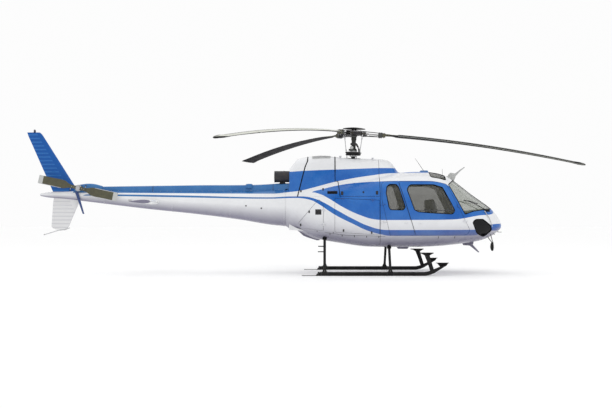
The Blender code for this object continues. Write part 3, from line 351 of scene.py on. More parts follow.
class Part:
    """Points, faces and, where they are known, normals. A zero normal is worked out later."""

    def __init__(self, points, faces, normals=None, inner=None):
        self.points = np.asarray(points, float).reshape(-1, 3)
        self.faces = faces
        self.normals = np.zeros_like(self.points) if normals is None else np.asarray(normals, float)
        self.inner = [False] * len(faces) if inner is None else inner

    def moved(self, matrix):
        turn = np.array(matrix.to_3x3())
        points = self.points @ turn.T + np.array(matrix.translation)
        return Part(points, self.faces, self.normals @ turn.T, self.inner)

    def mirrored(self):
        flip = np.array([1.0, -1.0, 1.0])
        return Part(self.points * flip, [face[::-1] for face in self.faces], self.normals * flip, self.inner)

    def at(self, side):
        return self if side > 0 else self.mirrored()

    def plus(self, other):
        """Both parts, with points that meet on the centreline made one."""
        key = {}
        for k in np.nonzero(np.abs(self.points[:, 1]) < 1e-7)[0]:
            key[tuple(np.round(self.points[k], 5))] = k
        where, kept = [], []
        for k, point in enumerate(other.points):
            found = key.get(tuple(np.round(point, 5))) if abs(point[1]) < 1e-7 else None
            where.append(len(self.points) + len(kept) if found is None else found)
            if found is None:
                kept.append(k)
        faces = self.faces + [tuple(where[k] for k in face) for face in other.faces]
        return Part(np.vstack([self.points, other.points[kept]]), faces,
                    np.vstack([self.normals, other.normals[kept]]), self.inner + other.inner)

    def both(self):
        return self.plus(self.mirrored())


def sheet(loops, place, out=0.0, inn=0.004, edge=0.0015, grid=0.045, weld=True):
    """A closed solid between two depths under a surface. The first loop is its edge, the others are holes."""
    outer, holes = loops[0], loops[1:]
    low, high = outer.min(0), outer.max(0)
    across = np.arange(low[0] + grid / 2, high[0], grid)
    up = np.arange(low[1] + grid / 2, high[1], grid * 0.87)
    field = np.array([(x + grid / 2 * (row % 2), y) for row, y in enumerate(up) for x in across])
    field = field.reshape(-1, 2)
    if len(field):
        field = field[inside(field, outer)]
    for hole in holes:
        if len(field):
            field = field[~inside(field, hole)]
    for loop in loops:
        for start in range(0, len(loop), 64):
            if len(field):
                gap = np.linalg.norm(field[:, None] - loop[None, start:start + 64], axis=2).min(1)
                field = field[gap > grid * 0.42]
    flat = [tuple(point) for loop in loops for point in loop]
    edges, first = [], 0
    for loop in loops:
        edges += [(first + k, first + (k + 1) % len(loop)) for k in range(len(loop))]
        first += len(loop)
    flat += [tuple(point) for point in field]
    spots, _, faces, _, _, _ = delaunay_2d_cdt([Vector(point) for point in flat], edges, [], 0, 1e-6)
    spots = np.array([tuple(spot) for spot in spots])
    faces = np.array([tuple(face) for face in faces])
    centres = spots[faces].mean(1)
    keep = inside(centres, outer)
    for hole in holes:
        keep &= ~inside(centres, hole)
    faces = faces[keep]
    used = np.unique(faces)
    renumber = np.full(len(spots), -1)
    renumber[used] = np.arange(len(used))
    spots, faces = spots[used], renumber[faces]
    points, normals = place(spots)
    corner = points[faces]
    facing = np.cross(corner[:, 1] - corner[:, 0], corner[:, 2] - corner[:, 0])
    if (facing * normals[faces[:, 0]]).sum() < 0:
        faces = faces[:, ::-1]
    sides = np.vstack([faces[:, [0, 1]], faces[:, [1, 2]], faces[:, [2, 0]]])
    forward = {(a, b) for a, b in sides.tolist()}
    middle = np.abs(np.abs(spots[:, 1]) - math.pi / 2 * ANGLE_SCALE) < 1e-5 if weld else np.zeros(len(spots), bool)
    rim = [(a, b) for a, b in forward if (b, a) not in forward and not (middle[a] and middle[b])]
    outward = np.zeros_like(points)
    count = np.zeros(len(points))
    for a, b in rim:
        along = points[b] - points[a]
        away = np.cross(along, normals[a] + normals[b])
        away /= max(np.linalg.norm(away), 1e-12)
        for k in (a, b):
            outward[k] += away
            count[k] += 1
    outward[middle, 1] = 0.0
    length = np.linalg.norm(outward, axis=1)
    on_rim = count > 0
    miter = np.where(on_rim, np.minimum(1.6, np.maximum(count, 1) / np.maximum(length, 1e-9)), 0)
    outward = outward / np.maximum(length, 1e-12)[:, None]
    number = len(points)
    top = points - normals * out - outward * (edge * miter)[:, None]
    bottom = points - normals * inn - outward * (edge * miter)[:, None]
    index = np.nonzero(on_rim)[0]
    ring = np.full(number, -1)
    ring[index] = np.arange(len(index))
    upper = points[index] - normals[index] * (out + edge)
    lower = points[index] - normals[index] * (inn - edge)
    all_points = np.vstack([top, bottom, upper, lower])
    all_normals = np.vstack([normals, -normals, outward[index], outward[index]])
    made = [tuple(face) for face in faces.tolist()]
    made += [tuple(k + number for k in face[::-1]) for face in faces.tolist()]
    hidden = [False] * len(faces) + [True] * len(faces) + [False] * (3 * len(rim))
    up_first, low_first = 2 * number, 2 * number + len(index)
    for a, b in rim:
        made.append((a, up_first + ring[a], up_first + ring[b], b))
        made.append((up_first + ring[a], low_first + ring[a], low_first + ring[b], up_first + ring[b]))
        made.append((low_first + ring[a], number + a, number + b, low_first + ring[b]))
    return Part(all_points, made, all_normals, hidden)


def flat_sheet(outlines, axis, low, high, edge=0.001):
    """A plate with holes, its outlines pairs of the other two coordinates, in order."""
    order = {"X": (1, 2, 0), "Y": (0, 2, 1), "Z": (0, 1, 2)}[axis]

    def place(flat):
        points, normals = np.zeros((len(flat), 3)), np.zeros((len(flat), 3))
        points[:, order[0]], points[:, order[1]] = flat[:, 0], flat[:, 1]
        points[:, order[2]] = high
        normals[:, order[2]] = 1.0
        return points, normals

    return sheet([np.array(outline, float) for outline in outlines], place, 0.0, high - low, edge, 9.0, False)


def ribbon(path, width):
    """The outline of a band along a path of pairs."""
    points = np.array(path, float)
    ahead = np.gradient(points, axis=0)
    ahead /= np.linalg.norm(ahead, axis=1, keepdims=True)
    across = np.stack([-ahead[:, 1], ahead[:, 0]], 1) * width / 2
    return np.vstack([points + across, (points - across)[::-1]])


# Plain solids


def from_bmesh(mesh):
    bmesh.ops.recalc_face_normals(mesh, faces=mesh.faces)
    mesh.verts.index_update()
    points = [tuple(vert.co) for vert in mesh.verts]
    faces = [tuple(vert.index for vert in face.verts) for face in mesh.faces]
    mesh.free()
    return Part(points, faces)


def softened(mesh, bevel, steps=2):
    """The solid with its sharp edges bevelled."""
    if bevel:
        edges = [edge for edge in mesh.edges if edge.calc_face_angle(0) > math.radians(30)]
        bmesh.ops.bevel(mesh, geom=edges, offset=bevel, segments=steps, profile=0.5, affect="EDGES",
                        clamp_overlap=True)
    return from_bmesh(mesh)


def loft(rings, bevel=0.0, closed_ends=True):
    """A solid through rings with the same number of points."""
    mesh = bmesh.new()
    rows = [[mesh.verts.new([float(v) for v in point]) for point in ring] for ring in rings]
    for low, high in zip(rows, rows[1:]):
        for here in range(len(low)):
            after = (here + 1) % len(low)
            mesh.faces.new((low[here], low[after], high[after], high[here]))
    if closed_ends:
        mesh.faces.new(rows[0])
        mesh.faces.new(rows[-1])
    return softened(mesh, bevel)


def prism(outline, axis, low, high, bevel=0.002):
    """An outline pushed from low to high along X, Y or Z. Its pairs are the other two, in order."""
    place = {
        "X": lambda a, b, c: (c, a, b),
        "Y": lambda a, b, c: (a, c, b),
        "Z": lambda a, b, c: (a, b, c),
    }[axis]
    return loft([[place(a, b, c) for a, b in outline] for c in (low, high)], bevel)


def box(low, high, bevel=0.002):
    corners = ((low[0], low[2]), (high[0], low[2]), (high[0], high[2]), (low[0], high[2]))
    return prism(corners, "Y", low[1], high[1], bevel)


def turned(profile, sides=32, ring=False):
    """A solid of revolution about Z, through (radius, height) pairs. A radius of 0 ends it in a point.

    A ring's profile closes on itself, for a solid with a bore.
    """
    mesh = bmesh.new()
    rows = []
    for radius, height in profile:
        if radius < 1e-6:
            rows.append([mesh.verts.new((0, 0, height))])
            continue
        angles = [2 * math.pi * k / sides for k in range(sides)]
        rows.append([mesh.verts.new((radius * math.cos(a), radius * math.sin(a), height)) for a in angles])
    for low, high in zip(rows, rows[1:] + rows[:1] if ring else rows[1:]):
        for k in range(sides):
            after = (k + 1) % sides
            face = [low[k % len(low)], low[after % len(low)], high[after % len(high)], high[k % len(high)]]
            mesh.faces.new(list(dict.fromkeys(face)))
    for row in () if ring else (rows[0], rows[-1]):
        if len(row) > 1:
            mesh.faces.new(row)
    return from_bmesh(mesh)


def rod(start, end, radius, sides=12, bevel=0.0, end_radius=None):
    """A straight round bar, with its end corners cut by the bevel."""
    start = Vector(start)
    along = Vector(end) - start
    last = radius if end_radius is None else end_radius
    profile = [(radius, 0.0), (last, along.length)]
    if bevel:
        profile = [(radius - bevel, 0.0), (radius, bevel), (last, along.length - bevel),
                   (last - bevel, along.length)]
    matrix = Matrix.Translation(start) @ along.to_track_quat("Z", "Y").to_matrix().to_4x4()
    return turned(profile, sides).moved(matrix)


def bent(points, radius, steps=8):
    """The path with each inner corner rounded."""
    path = [Vector(points[0])]
    for before, corner, after in zip(points, points[1:], points[2:]):
        corner = Vector(corner)
        back, ahead = Vector(before) - corner, Vector(after) - corner
        reach = radius / math.tan(back.angle(ahead) / 2)
        reach = min(reach, 0.48 * back.length, 0.48 * ahead.length)
        start, end = corner + back.normalized() * reach, corner + ahead.normalized() * reach
        for k in range(steps + 1):
            t = k / steps
            path.append(start.lerp(corner, t).lerp(corner.lerp(end, t), t))
    path.append(Vector(points[-1]))
    return path


def tube(path, radius, sides=12, flat=1.0):
    """A round tube along a path, with one radius or one for each point."""
    path = [Vector(point) for point in path]
    radii = [radius] * len(path) if isinstance(radius, (int, float)) else list(radius)
    rings = []
    across = None
    for k, point in enumerate(path):
        along = (path[min(k + 1, len(path) - 1)] - path[max(k - 1, 0)]).normalized()
        if across is None:
            across = along.orthogonal().normalized()
        across = (across - along * across.dot(along)).normalized()
        third = along.cross(across)
        rings.append([point + radii[k] * (math.cos(a) * across + flat * math.sin(a) * third)
                      for a in (2 * math.pi * s / sides for s in range(sides))])
    return loft(rings)


def ball(centre, radius, count=12, squash=1.0):
    profile = [(radius * math.sin(math.pi * k / count), -radius * squash * math.cos(math.pi * k / count))
               for k in range(count + 1)]
    profile[0] = (0.0, profile[0][1])
    profile[-1] = (0.0, profile[-1][1])
    return turned(profile, count * 2).moved(Matrix.Translation(centre))


def screw_heads(points, normals, radius=0.0045, height=0.0012, sides=8):
    """Low domed heads at places on a surface, joined."""
    angles = np.arange(sides) * 2 * math.pi / sides
    made, faces = [], []
    for point, normal in zip(points, normals):
        up = Vector(normal)
        side = up.orthogonal().normalized()
        other = up.cross(side)
        first = len(made)
        for reach, rise in ((1.0, -0.0006), (0.8, height * 0.8)):
            for a in angles:
                made.append(Vector(point) + radius * reach * (math.cos(a) * side + math.sin(a) * other)
                            + up * rise)
        for k in range(sides):
            after = (k + 1) % sides
            faces.append((first + k, first + after, first + sides + after, first + sides + k))
        faces.append(tuple(first + sides + k for k in range(sides)))
        faces.append(tuple(first + k for k in reversed(range(sides))))
    return Part([tuple(point) for point in made], faces)


def spaced(flat, place, spacing, closed=True):
    """Points and normals at even steps along a loop on a surface."""
    points = place(flat)[0]
    if closed:
        points, flat = np.vstack([points, points[:1]]), np.vstack([flat, flat[:1]])
    length = np.concatenate([[0.0], np.cumsum(np.linalg.norm(np.diff(points, axis=0), axis=1))])
    count = max(2, int(length[-1] / spacing))
    steps = np.linspace(0, length[-1], count, endpoint=not closed)
    even = np.stack([np.interp(steps, length, flat[:, k]) for k in (0, 1)], 1)
    return place(even)


class Piece:
    """One visible object, made of parts with their own materials."""

    def __init__(self, name, body="airframe", slot=None):
        self.name, self.body, self.slot = name, body, slot
        self.points, self.normals, self.faces, self.looks, self.materials = [], [], [], [], []
        self.count = 0

    def add(self, part, material, lining=None):
        """Adds a part. The lining is the material of a sheet's inner side."""
        for look in (material, lining or material):
            if look not in self.materials:
                self.materials.append(look)
        outer, inner = self.materials.index(material), self.materials.index(lining or material)
        self.points.append(part.points)
        self.normals.append(part.normals)
        self.faces += [tuple(k + self.count for k in face) for face in part.faces]
        self.looks += [inner if hidden else outer for hidden in part.inner]
        self.count += len(part.points)
        return self

    def done(self, *replaced, angle=32.0):
        data = bpy.data.meshes.new(self.name)
        points = np.vstack(self.points)
        data.from_pydata(points.tolist(), [], self.faces)
        for material in self.materials:
            data.materials.append(material)
        data.polygons.foreach_set("material_index", self.looks)
        data.shade_smooth()
        data.set_sharp_from_angle(angle=math.radians(angle))
        normals = np.vstack(self.normals)
        if np.abs(normals).max() > 0:
            data.normals_split_custom_set_from_vertices(normals.tolist())
        made = bpy.data.objects.new(self.name, data)
        bpy.context.scene.collection.objects.link(made)
        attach(made, self.body)
        if replaced:
            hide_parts(*replaced)
        return made


# Materials


class Look:
    """A material on a Principled shader, with short ways to add nodes."""

    def __init__(self, name, colour, roughness=0.5, metallic=0.0, **fixed):
        self.material = bpy.data.materials.new(name)
        self.material.use_nodes = True
        self.tree = self.material.node_tree
        self.shader = self.tree.nodes["Principled BSDF"]
        self.shader.inputs["Base Color"].default_value = (*colour, 1.0)
        self.shader.inputs["Roughness"].default_value = roughness
        self.shader.inputs["Metallic"].default_value = metallic
        for word, value in fixed.items():
            self.shader.inputs[word.replace("_", " ").title().replace("Ior", "IOR")].default_value = value
        self.place = self.node("ShaderNodeTexCoord").outputs["Object"]
        self.colour = (*colour, 1.0)

    def node(self, kind, **settings):
        made = self.tree.nodes.new(kind)
        for word, value in settings.items():
            setattr(made, word, value)
        return made

    def put(self, socket, value):
        if isinstance(value, bpy.types.NodeSocket):
            self.tree.links.new(value, socket)
        else:
            socket.default_value = value

    def maths(self, operation, first, second=0.0, clamp=False):
        made = self.node("ShaderNodeMath", operation=operation, use_clamp=clamp)
        self.put(made.inputs[0], first)
        self.put(made.inputs[1], second)
        return made.outputs[0]

    def noise(self, scale, detail=4.0, rough=0.55, stretch=None):
        """Smooth noise from 0 to 1 over the object."""
        made = self.node("ShaderNodeTexNoise")
        place = self.place
        if stretch:
            mapping = self.node("ShaderNodeMapping")
            self.put(mapping.inputs["Vector"], place)
            mapping.inputs["Scale"].default_value = stretch
            place = mapping.outputs[0]
        self.put(made.inputs["Vector"], place)
        made.inputs["Scale"].default_value = scale
        made.inputs["Detail"].default_value = detail
        made.inputs["Roughness"].default_value = rough
        return made.outputs["Fac"]

    def between(self, value, low, high, start=0.0, end=1.0):
        made = self.node("ShaderNodeMapRange")
        for socket, number in zip(made.inputs, (value, low, high, start, end)):
            self.put(socket, number)
        return made.outputs[0]

    def mix(self, share, first, second, blend="MIX"):
        made = self.node("ShaderNodeMix", data_type="RGBA", blend_type=blend)
        self.put(made.inputs[0], share)
        for socket, colour in ((made.inputs[6], first), (made.inputs[7], second)):
            self.put(socket, (*colour, 1.0) if isinstance(colour, tuple) and len(colour) == 3 else colour)
        return made.outputs[2]

    def paint(self, colour):
        self.put(self.shader.inputs["Base Color"], colour)
        return self

    def rough(self, low, high, scale=6.0):
        """Roughness that varies over the surface."""
        self.put(self.shader.inputs["Roughness"], self.between(self.noise(scale), 0.3, 0.7, low, high))
        return self

    def bump(self, height, strength=0.2, distance=0.001):
        made = self.node("ShaderNodeBump")
        made.inputs["Strength"].default_value = strength
        made.inputs["Distance"].default_value = distance
        self.put(made.inputs["Height"], height)
        if self.shader.inputs["Normal"].is_linked:
            self.put(made.inputs["Normal"], self.shader.inputs["Normal"].links[0].from_socket)
        self.put(self.shader.inputs["Normal"], made.outputs[0])
        return self

    def line(self, knots):
        """A line of heights along the body, from pairs of x and height."""
        x = self.separate().outputs["X"]
        made = self.node("ShaderNodeFloatCurve")
        curve = made.mapping.curves[0]
        scaled = [((a - LINE_START) / (LINE_END - LINE_START), b / LINE_TOP) for a, b in knots]
        for _ in range(len(scaled) - 2):
            curve.points.new(0.5, 0.5)
        for point, place in zip(curve.points, scaled):
            point.location = place
            point.handle_type = "AUTO_CLAMPED"
        made.mapping.update()
        self.put(made.inputs["Value"], self.between(x, LINE_START, LINE_END))
        return self.maths("MULTIPLY", made.outputs[0], LINE_TOP)

    def separate(self):
        if not hasattr(self, "split"):
            self.split = self.node("ShaderNodeSeparateXYZ")
            self.put(self.split.inputs[0], self.place)
        return self.split

    def underside(self, start=0.05, end=-0.85):
        """0 on the sides, rising to 1 where the surface faces the ground."""
        facing = self.node("ShaderNodeSeparateXYZ")
        self.put(facing.inputs[0], self.node("ShaderNodeTexCoord").outputs["Normal"])
        return self.between(facing.outputs["Z"], start, end)

    def band(self, low, high):
        """1 where the height is between two lines."""
        z = self.separate().outputs["Z"]
        above = self.maths("GREATER_THAN", z, low)
        return self.maths("MULTIPLY", above, self.maths("LESS_THAN", z, high))


LINE_START, LINE_END, LINE_TOP = -6.5, 4.6, 3.4
WHITE = (0.78, 0.79, 0.81)
BLUE = (0.006, 0.100, 0.410)
# Paler blue for patches of painted sheen, where the gloss paint would reflect light
BLUE_SHEEN = (0.036, 0.175, 0.520)
REAR_BLUE = (0.040, 0.158, 0.390)
BELLY_SHADE = (0.150, 0.140, 0.220)

RIB_GAP = 0.085

# The paint's edges, as heights along the body
COWL_BAND_TOP = ((-6.5, 3.3), (-0.46, 3.3), (-0.38, 2.312), (0.0, 2.328), (0.69, 2.353), (2.0, 2.392), (4.6, 2.392))
WHITE_TOP = (
    (-6.5, 3.300), (-5.370, 3.300), (-5.340, 1.835), (-4.626, 1.833), (-2.866, 1.822), (-0.740, 1.811), (-0.434, 1.841), (-0.110, 1.877),
    (0.134, 1.935), (0.748, 2.092), (1.441, 2.213), (2.050, 2.275), (4.6, 2.275),
)
MAIN_TOP = (
    (-6.5, 0.5), (0.09, 0.5), (0.135, 1.837), (0.393, 1.911), (0.692, 1.985), (1.064, 2.041), (1.617, 2.076),
    (2.095, 2.088), (2.777, 2.086), (3.000, 2.056), (3.145, 2.010), (3.500, 1.600), (3.905, 1.462), (4.6, 1.462),
)
MAIN_BOTTOM = (
    (-6.5, 1.837), (0.135, 1.837), (0.322, 1.797), (0.505, 1.706), (0.872, 1.484), (1.238, 1.318),
    (1.510, 1.237), (1.783, 1.219), (2.532, 1.221), (3.313, 1.232), (3.872, 1.317), (4.244, 1.360),
    (4.300, 1.500), (4.6, 1.500),
)
STRIPE_TOP = (
    (-6.5, 1.760), (-5.150, 1.760), (-5.000, 1.796), (-4.626, 1.796), (-2.866, 1.772), (-0.808, 1.727), (-0.336, 1.746), (-0.056, 1.745),
    (0.136, 1.715), (0.323, 1.649), (0.689, 1.446), (1.055, 1.245), (1.420, 1.080), (1.695, 1.008),
    (1.872, 0.999), (3.706, 0.999), (4.216, 1.120), (4.6, 1.134),
)
STRIPE_BOTTOM = (
    (-6.5, 1.769), (-5.150, 1.769), (-4.626, 1.763), (-2.866, 1.729), (-0.808, 1.696), (-0.237, 1.712), (0.137, 1.658),
    (0.247, 1.602), (0.689, 1.318), (1.055, 1.135), (1.421, 0.969), (1.697, 0.897), (1.874, 0.870),
    (3.695, 0.870), (4.221, 0.975), (4.6, 0.970),
)


def glossy(look, low=0.22, high=0.34):
    """Polished paint under clear coat, with the faint waves of a sprayed finish."""
    look.rough(low, high, 5.0)
    look.bump(look.noise(260.0, 2.0), 0.05, 0.0004)
    look.bump(look.noise(3.5, 2.0), 0.10, 0.004)
    return look


def make_livery():
    look = Look("livery_paint", WHITE, 0.28, coat_weight=0.15, coat_roughness=0.06, specular_ior_level=0.22)
    upper = look.band(look.line(WHITE_TOP), look.line(COWL_BAND_TOP))
    main = look.band(look.line(MAIN_BOTTOM), look.line(MAIN_TOP))
    stripe = look.band(look.line(STRIPE_BOTTOM), look.line(STRIPE_TOP))
    blue = look.maths("MAXIMUM", look.maths("MAXIMUM", upper, main), stripe)
    worn = look.mix(look.between(look.noise(2.2, 6.0), 0.35, 0.75), WHITE, (0.745, 0.750, 0.765))
    # The blue in large soft patches of painted sheen
    deep = look.mix(look.between(look.noise(1.7, 5.0), 0.35, 0.75), BLUE, BLUE_SHEEN)
    deep = look.mix(look.between(look.separate().outputs["X"], -0.30, -0.70), deep, REAR_BLUE)
    colour = look.mix(blue, worn, deep)
    # Painted shade: the paint darkens towards the belly, in noisy streaks that also stand for grime
    low = look.between(look.separate().outputs["Z"], 1.05, 0.60, 0.0, 0.5)
    low_shade_and_grime = look.maths("MULTIPLY", low, look.between(look.noise(7.0, 8.0, 0.65, (0.35, 1, 1)), 0.35, 0.75), True)
    colour = look.mix(low_shade_and_grime, colour, (0.42, 0.40, 0.40))
    look.paint(look.mix(look.maths("MULTIPLY", look.underside(), 0.88), colour, BELLY_SHADE))
    return glossy(look).material


def plain(name, colour, other, roughness, spread=0.12, scale=8.0, metallic=0.0, grain=300.0, depth=0.15, **fixed):
    """A finish whose colour and roughness vary, with a fine grain."""
    look = Look(name, colour, roughness, metallic, **fixed)
    look.paint(look.mix(look.between(look.noise(scale, 6.0), 0.35, 0.7), colour, other))
    look.rough(max(0.03, roughness - spread), roughness + spread, scale * 1.7)
    look.bump(look.noise(grain, 3.0), depth, 0.0006)
    return look.material


def ribbed_paint(name, colour, painted_flank_light, behind, slope, at_height):
    """Paint on pressed ribs, with a second colour painted on the rib flanks as their light and shade, shown only behind
    a slanted line along the fin.
    """
    look = Look(name, colour, 0.34, specular_ior_level=0.25)
    split = look.separate()
    wave = look.maths("SINE", look.maths("MULTIPLY", split.outputs["Z"], 2 * math.pi / RIB_GAP))
    flank = look.between(wave, 0.2, 0.8)
    line = look.maths("ADD", look.maths("MULTIPLY", split.outputs["Z"], slope), behind - slope * at_height)
    aft = look.maths("GREATER_THAN", line, split.outputs["X"])
    shown = look.maths("MULTIPLY", look.maths("MULTIPLY", flank, aft), 0.55)
    look.paint(look.mix(shown, colour, painted_flank_light))
    return glossy(look, 0.28, 0.40).material


def make_glass(name, colour, alpha, shine=0.5):
    """Clear sheet with a tint, a hard gloss and faint smears."""
    look = Look(name, colour, 0.03, alpha=alpha, specular_ior_level=shine, coat_weight=shine, coat_roughness=0.02)
    look.put(look.shader.inputs["Roughness"], look.between(look.noise(9.0, 6.0), 0.45, 0.8, 0.02, 0.12))
    return look.material


LIVERY = make_livery()
LIVERY_WHITE = plain("white_paint", WHITE, (0.70, 0.70, 0.70), 0.28, 0.06, 3.0, coat_weight=0.15, coat_roughness=0.06, specular_ior_level=0.22)
LIVERY_BLUE = plain("blue_paint", (0.034, 0.145, 0.375), (0.052, 0.180, 0.410), 0.28, 0.06, 3.0, coat_weight=0.15, coat_roughness=0.06, specular_ior_level=0.22)
RUBBER = plain("black_rubber", (0.004, 0.004, 0.005), (0.010, 0.010, 0.011), 0.70, specular_ior_level=0.06)
BLACK = plain("black_paint", (0.007, 0.007, 0.008), (0.020, 0.019, 0.018), 0.52, 0.12, 5.0, specular_ior_level=0.16)
STEEL = plain("bare_steel", (0.50, 0.50, 0.51), (0.36, 0.36, 0.37), 0.33, 0.12, 20.0, 1.0)
DARK_STEEL = plain("dark_steel", (0.026, 0.026, 0.030), (0.060, 0.057, 0.055), 0.50, 0.12, 14.0, 0.25, specular_ior_level=0.2)
ALUMINIUM = plain("aluminium", (0.62, 0.63, 0.64), (0.50, 0.50, 0.51), 0.30, 0.10, 12.0, 1.0)
TRIM = plain("grey_trim", (0.34, 0.34, 0.35), (0.29, 0.29, 0.30), 0.68, 0.08, 6.0, 0.0, 220.0, 0.3)
DARK_TRIM = plain("dark_trim", (0.035, 0.036, 0.040), (0.055, 0.055, 0.060), 0.60, 0.10, 7.0, 0.0, 240.0, 0.3)
GREY_PRIMER = plain("grey_primer", (0.30, 0.32, 0.30), (0.24, 0.25, 0.24), 0.55, 0.10, 9.0)
HOT_STEEL = plain("heated_steel", (0.036, 0.037, 0.044), (0.062, 0.056, 0.054), 0.52, 0.10, 11.0, 0.35, specular_ior_level=0.2)
DARK_LENS = plain("dark_lens", (0.020, 0.022, 0.050), (0.012, 0.013, 0.035), 0.14, 0.04, coat_weight=0.6)
DEEP_BLUE = plain("deep_blue_paint", (0.016, 0.045, 0.160), (0.022, 0.055, 0.190), 0.35, 0.08, 4.0)
# The blue fin's rib flanks get a painted highlight, the white fin's rib flanks a painted shade
FIN_BLUE = ribbed_paint("fin_blue_paint", (0.004, 0.085, 0.340), (0.040, 0.190, 0.520), -5.520, -0.575, 2.06)
FIN_WHITE = ribbed_paint("fin_white_paint", (0.70, 0.70, 0.71), (0.50, 0.50, 0.53), -5.390, -0.450, 1.600)
OLIVE = plain("olive_composite", (0.080, 0.077, 0.040), (0.055, 0.052, 0.030), 0.52, 0.10, 14.0, 0.0, 300.0, 0.3)
LIGHT_GREY = plain("light_grey_paint", (0.52, 0.53, 0.52), (0.44, 0.45, 0.44), 0.40, 0.08, 10.0)
BLADE_TOP = plain("blade_upper_paint", (0.60, 0.61, 0.54), (0.52, 0.53, 0.47), 0.46, 0.10, 5.0, specular_ior_level=0.3)
BLADE_UNDER = plain("blade_lower_paint", (0.009, 0.009, 0.012), (0.026, 0.024, 0.026), 0.56, 0.10, 5.0, specular_ior_level=0.03)
EDGE_STEEL = plain("worn_edge_steel", (0.024, 0.024, 0.027), (0.070, 0.070, 0.072), 0.46, 0.12, 18.0, 0.3, specular_ior_level=0.10)
CLAMP_GREY = plain("clamp_grey", (0.085, 0.090, 0.086), (0.055, 0.058, 0.055), 0.46, 0.10, 14.0, 0.2, specular_ior_level=0.10)
# Lavender grey as painted shade, for parts low under the body and for the stabilizer tips
BELLY_SHADE_PAINT = plain("belly_shade_paint", (0.215, 0.205, 0.275), (0.165, 0.158, 0.215), 0.50, 0.08, 6.0, specular_ior_level=0.2)
MIRROR = plain("mirror_glass", (0.86, 0.87, 0.88), (0.80, 0.81, 0.82), 0.05, 0.02, 9.0, 1.0)
STAR_BROWN = plain("glass_fibre", (0.075, 0.068, 0.044), (0.048, 0.044, 0.030), 0.48, 0.10, 30.0, specular_ior_level=0.10)
MAST_GREY = plain("mast_paint", (0.050, 0.052, 0.048), (0.030, 0.032, 0.030), 0.48, 0.12, 12.0, 0.2, specular_ior_level=0.10)
BELT = plain("belt_webbing", (0.030, 0.031, 0.034), (0.050, 0.050, 0.054), 0.80, 0.06, 60.0, 0.0, 700.0, 0.5)
DIAL = plain("dial_face", (0.012, 0.012, 0.013), (0.020, 0.020, 0.021), 0.25, 0.04, 4.0, coat_weight=0.6)
SEAT_CLOTH = plain("seat_cloth", (0.235, 0.245, 0.270), (0.180, 0.190, 0.215), 0.90, 0.05, 16.0, 0.0, 620.0, 0.8)
CARPET = plain("floor_covering", (0.050, 0.055, 0.065), (0.085, 0.088, 0.095), 0.92, 0.05, 30.0, 0.0, 420.0, 0.9)
CLEAR = make_glass("clear_pane", (0.24, 0.27, 0.21), 0.28, 0.35)
SIDE_GLASS = make_glass("side_pane", (0.062, 0.062, 0.046), 0.40, 0.35)
CHIN_GLASS = make_glass("chin_pane", (0.004, 0.004, 0.005), 0.96, 0.15)


# The cabin


SEAM = 0.006
CENTRE_POST = 0.030
CHIN_GAP = 0.120
ROOF_WINDOW = ((2.790, 0.170), (3.150, 0.170), (3.150, 0.560), (2.790, 0.600))
ROOF_CORNER = 0.070
DOOR_CORNER = 0.045
WINDOW_CORNER = 0.070
GLASS_OUT, GLASS_IN = 0.0105, 0.0145


def hull_loop(outline, radius=0.0, distance=0.0, within=None, skin=HULL_SKIN):
    return on_side(skin, grow(outline, distance) if distance else outline, radius, within=within)


def roof_loop(distance=0.0):
    outline = filleted(grow(ROOF_WINDOW, distance) if distance else ROOF_WINDOW, ROOF_CORNER)
    return traced(outline, HULL_SKIN.from_above, HULL_SKIN.place)


def hull_sheet(loops, out=0.0, inn=0.03, edge=0.0015, grid=0.045, skin=HULL_SKIN):
    return sheet(loops, skin.place, out, inn, edge, grid)


def window_parts(loop, wider, narrower, pane, glass):
    """A pane with its rubber seal, as (part, material) pairs."""
    seal = hull_sheet([wider, narrower], -0.0016, GLASS_OUT, 0.0018)
    return ((hull_sheet([loop], GLASS_OUT, GLASS_IN, 0.0008), glass), (seal, RUBBER))


def pane(name, body, replaced, loops, glass, side, bar=None):
    """One window: the glass and its seal, and for a sliding window its bar."""
    loop, wider, narrower = loops
    piece = Piece(name, body, "clear_pane")
    for part, material in window_parts(loop, wider, narrower, name, glass):
        piece.add(part.at(side), material)
    if bar is not None:
        piece.add(hull_sheet([hull_loop(bar)], 0.003, GLASS_OUT - 0.0005, 0.0012).at(side), DARK_TRIM)
    return piece.done(replaced)


def rings(outline, radius, within=None):
    """An opening's loop, a little wider and a little narrower."""
    made = []
    for distance, change in ((0.0, 0.0), (0.005, 0.005), (-0.013, -0.013)):
        kept = None if within is None else within - distance
        made.append(hull_loop(outline, max(0.01, radius + change), distance, kept))
    return made


def make_cabin():
    whole = ((1.6635, -0.5), (4.4788, -0.5), (4.4788, FAR), (1.6635, FAR))
    windshield = rings(WINDSHIELD, 0.035, CENTRE_POST)
    chin = rings(CHIN_WINDOW, 0.110, CHIN_GAP)
    roof = [roof_loop(distance) for distance in (0.0, 0.005, -0.013)]
    holes = [hull_loop(outline, DOOR_CORNER + SEAM, SEAM) for outline in (FRONT_DOOR, REAR_DOOR)]
    skin = hull_sheet([hull_loop(whole)] + holes + [windshield[0], chin[0], roof[0]], 0.0, 0.030, 0.0015, 0.036)
    piece = Piece("cabin_skin", "airframe", "cabin_paint")
    piece.add(skin.both(), LIVERY, TRIM)
    for outline in (FRONT_DOOR, REAR_DOOR):
        loops = [hull_loop(outline, DOOR_CORNER + 0.012, 0.012), hull_loop(outline, DOOR_CORNER - 0.010, -0.010)]
        jamb = hull_sheet(loops, 0.0135, 0.042, 0.002)
        for side in (1, -1):
            piece.add(jamb.at(side), DARK_TRIM)
    piece.done("cabin_tub", "canopy_frame")
    for word, side in (("right", -1), ("left", 1)):
        pane(word + "_windshield_pane", "airframe", word + "_windshield", windshield, CLEAR, side)
        pane(word + "_chin_pane", "airframe", word + "_chin_window", chin, CHIN_GLASS, side)
        pane(word + "_roof_pane", "airframe", word + "_roof_window", roof, SIDE_GLASS, side)


SLIDING_BAR = ((2.420, 1.444), (3.312, 1.444), (3.305, 1.426), (2.432, 1.426))


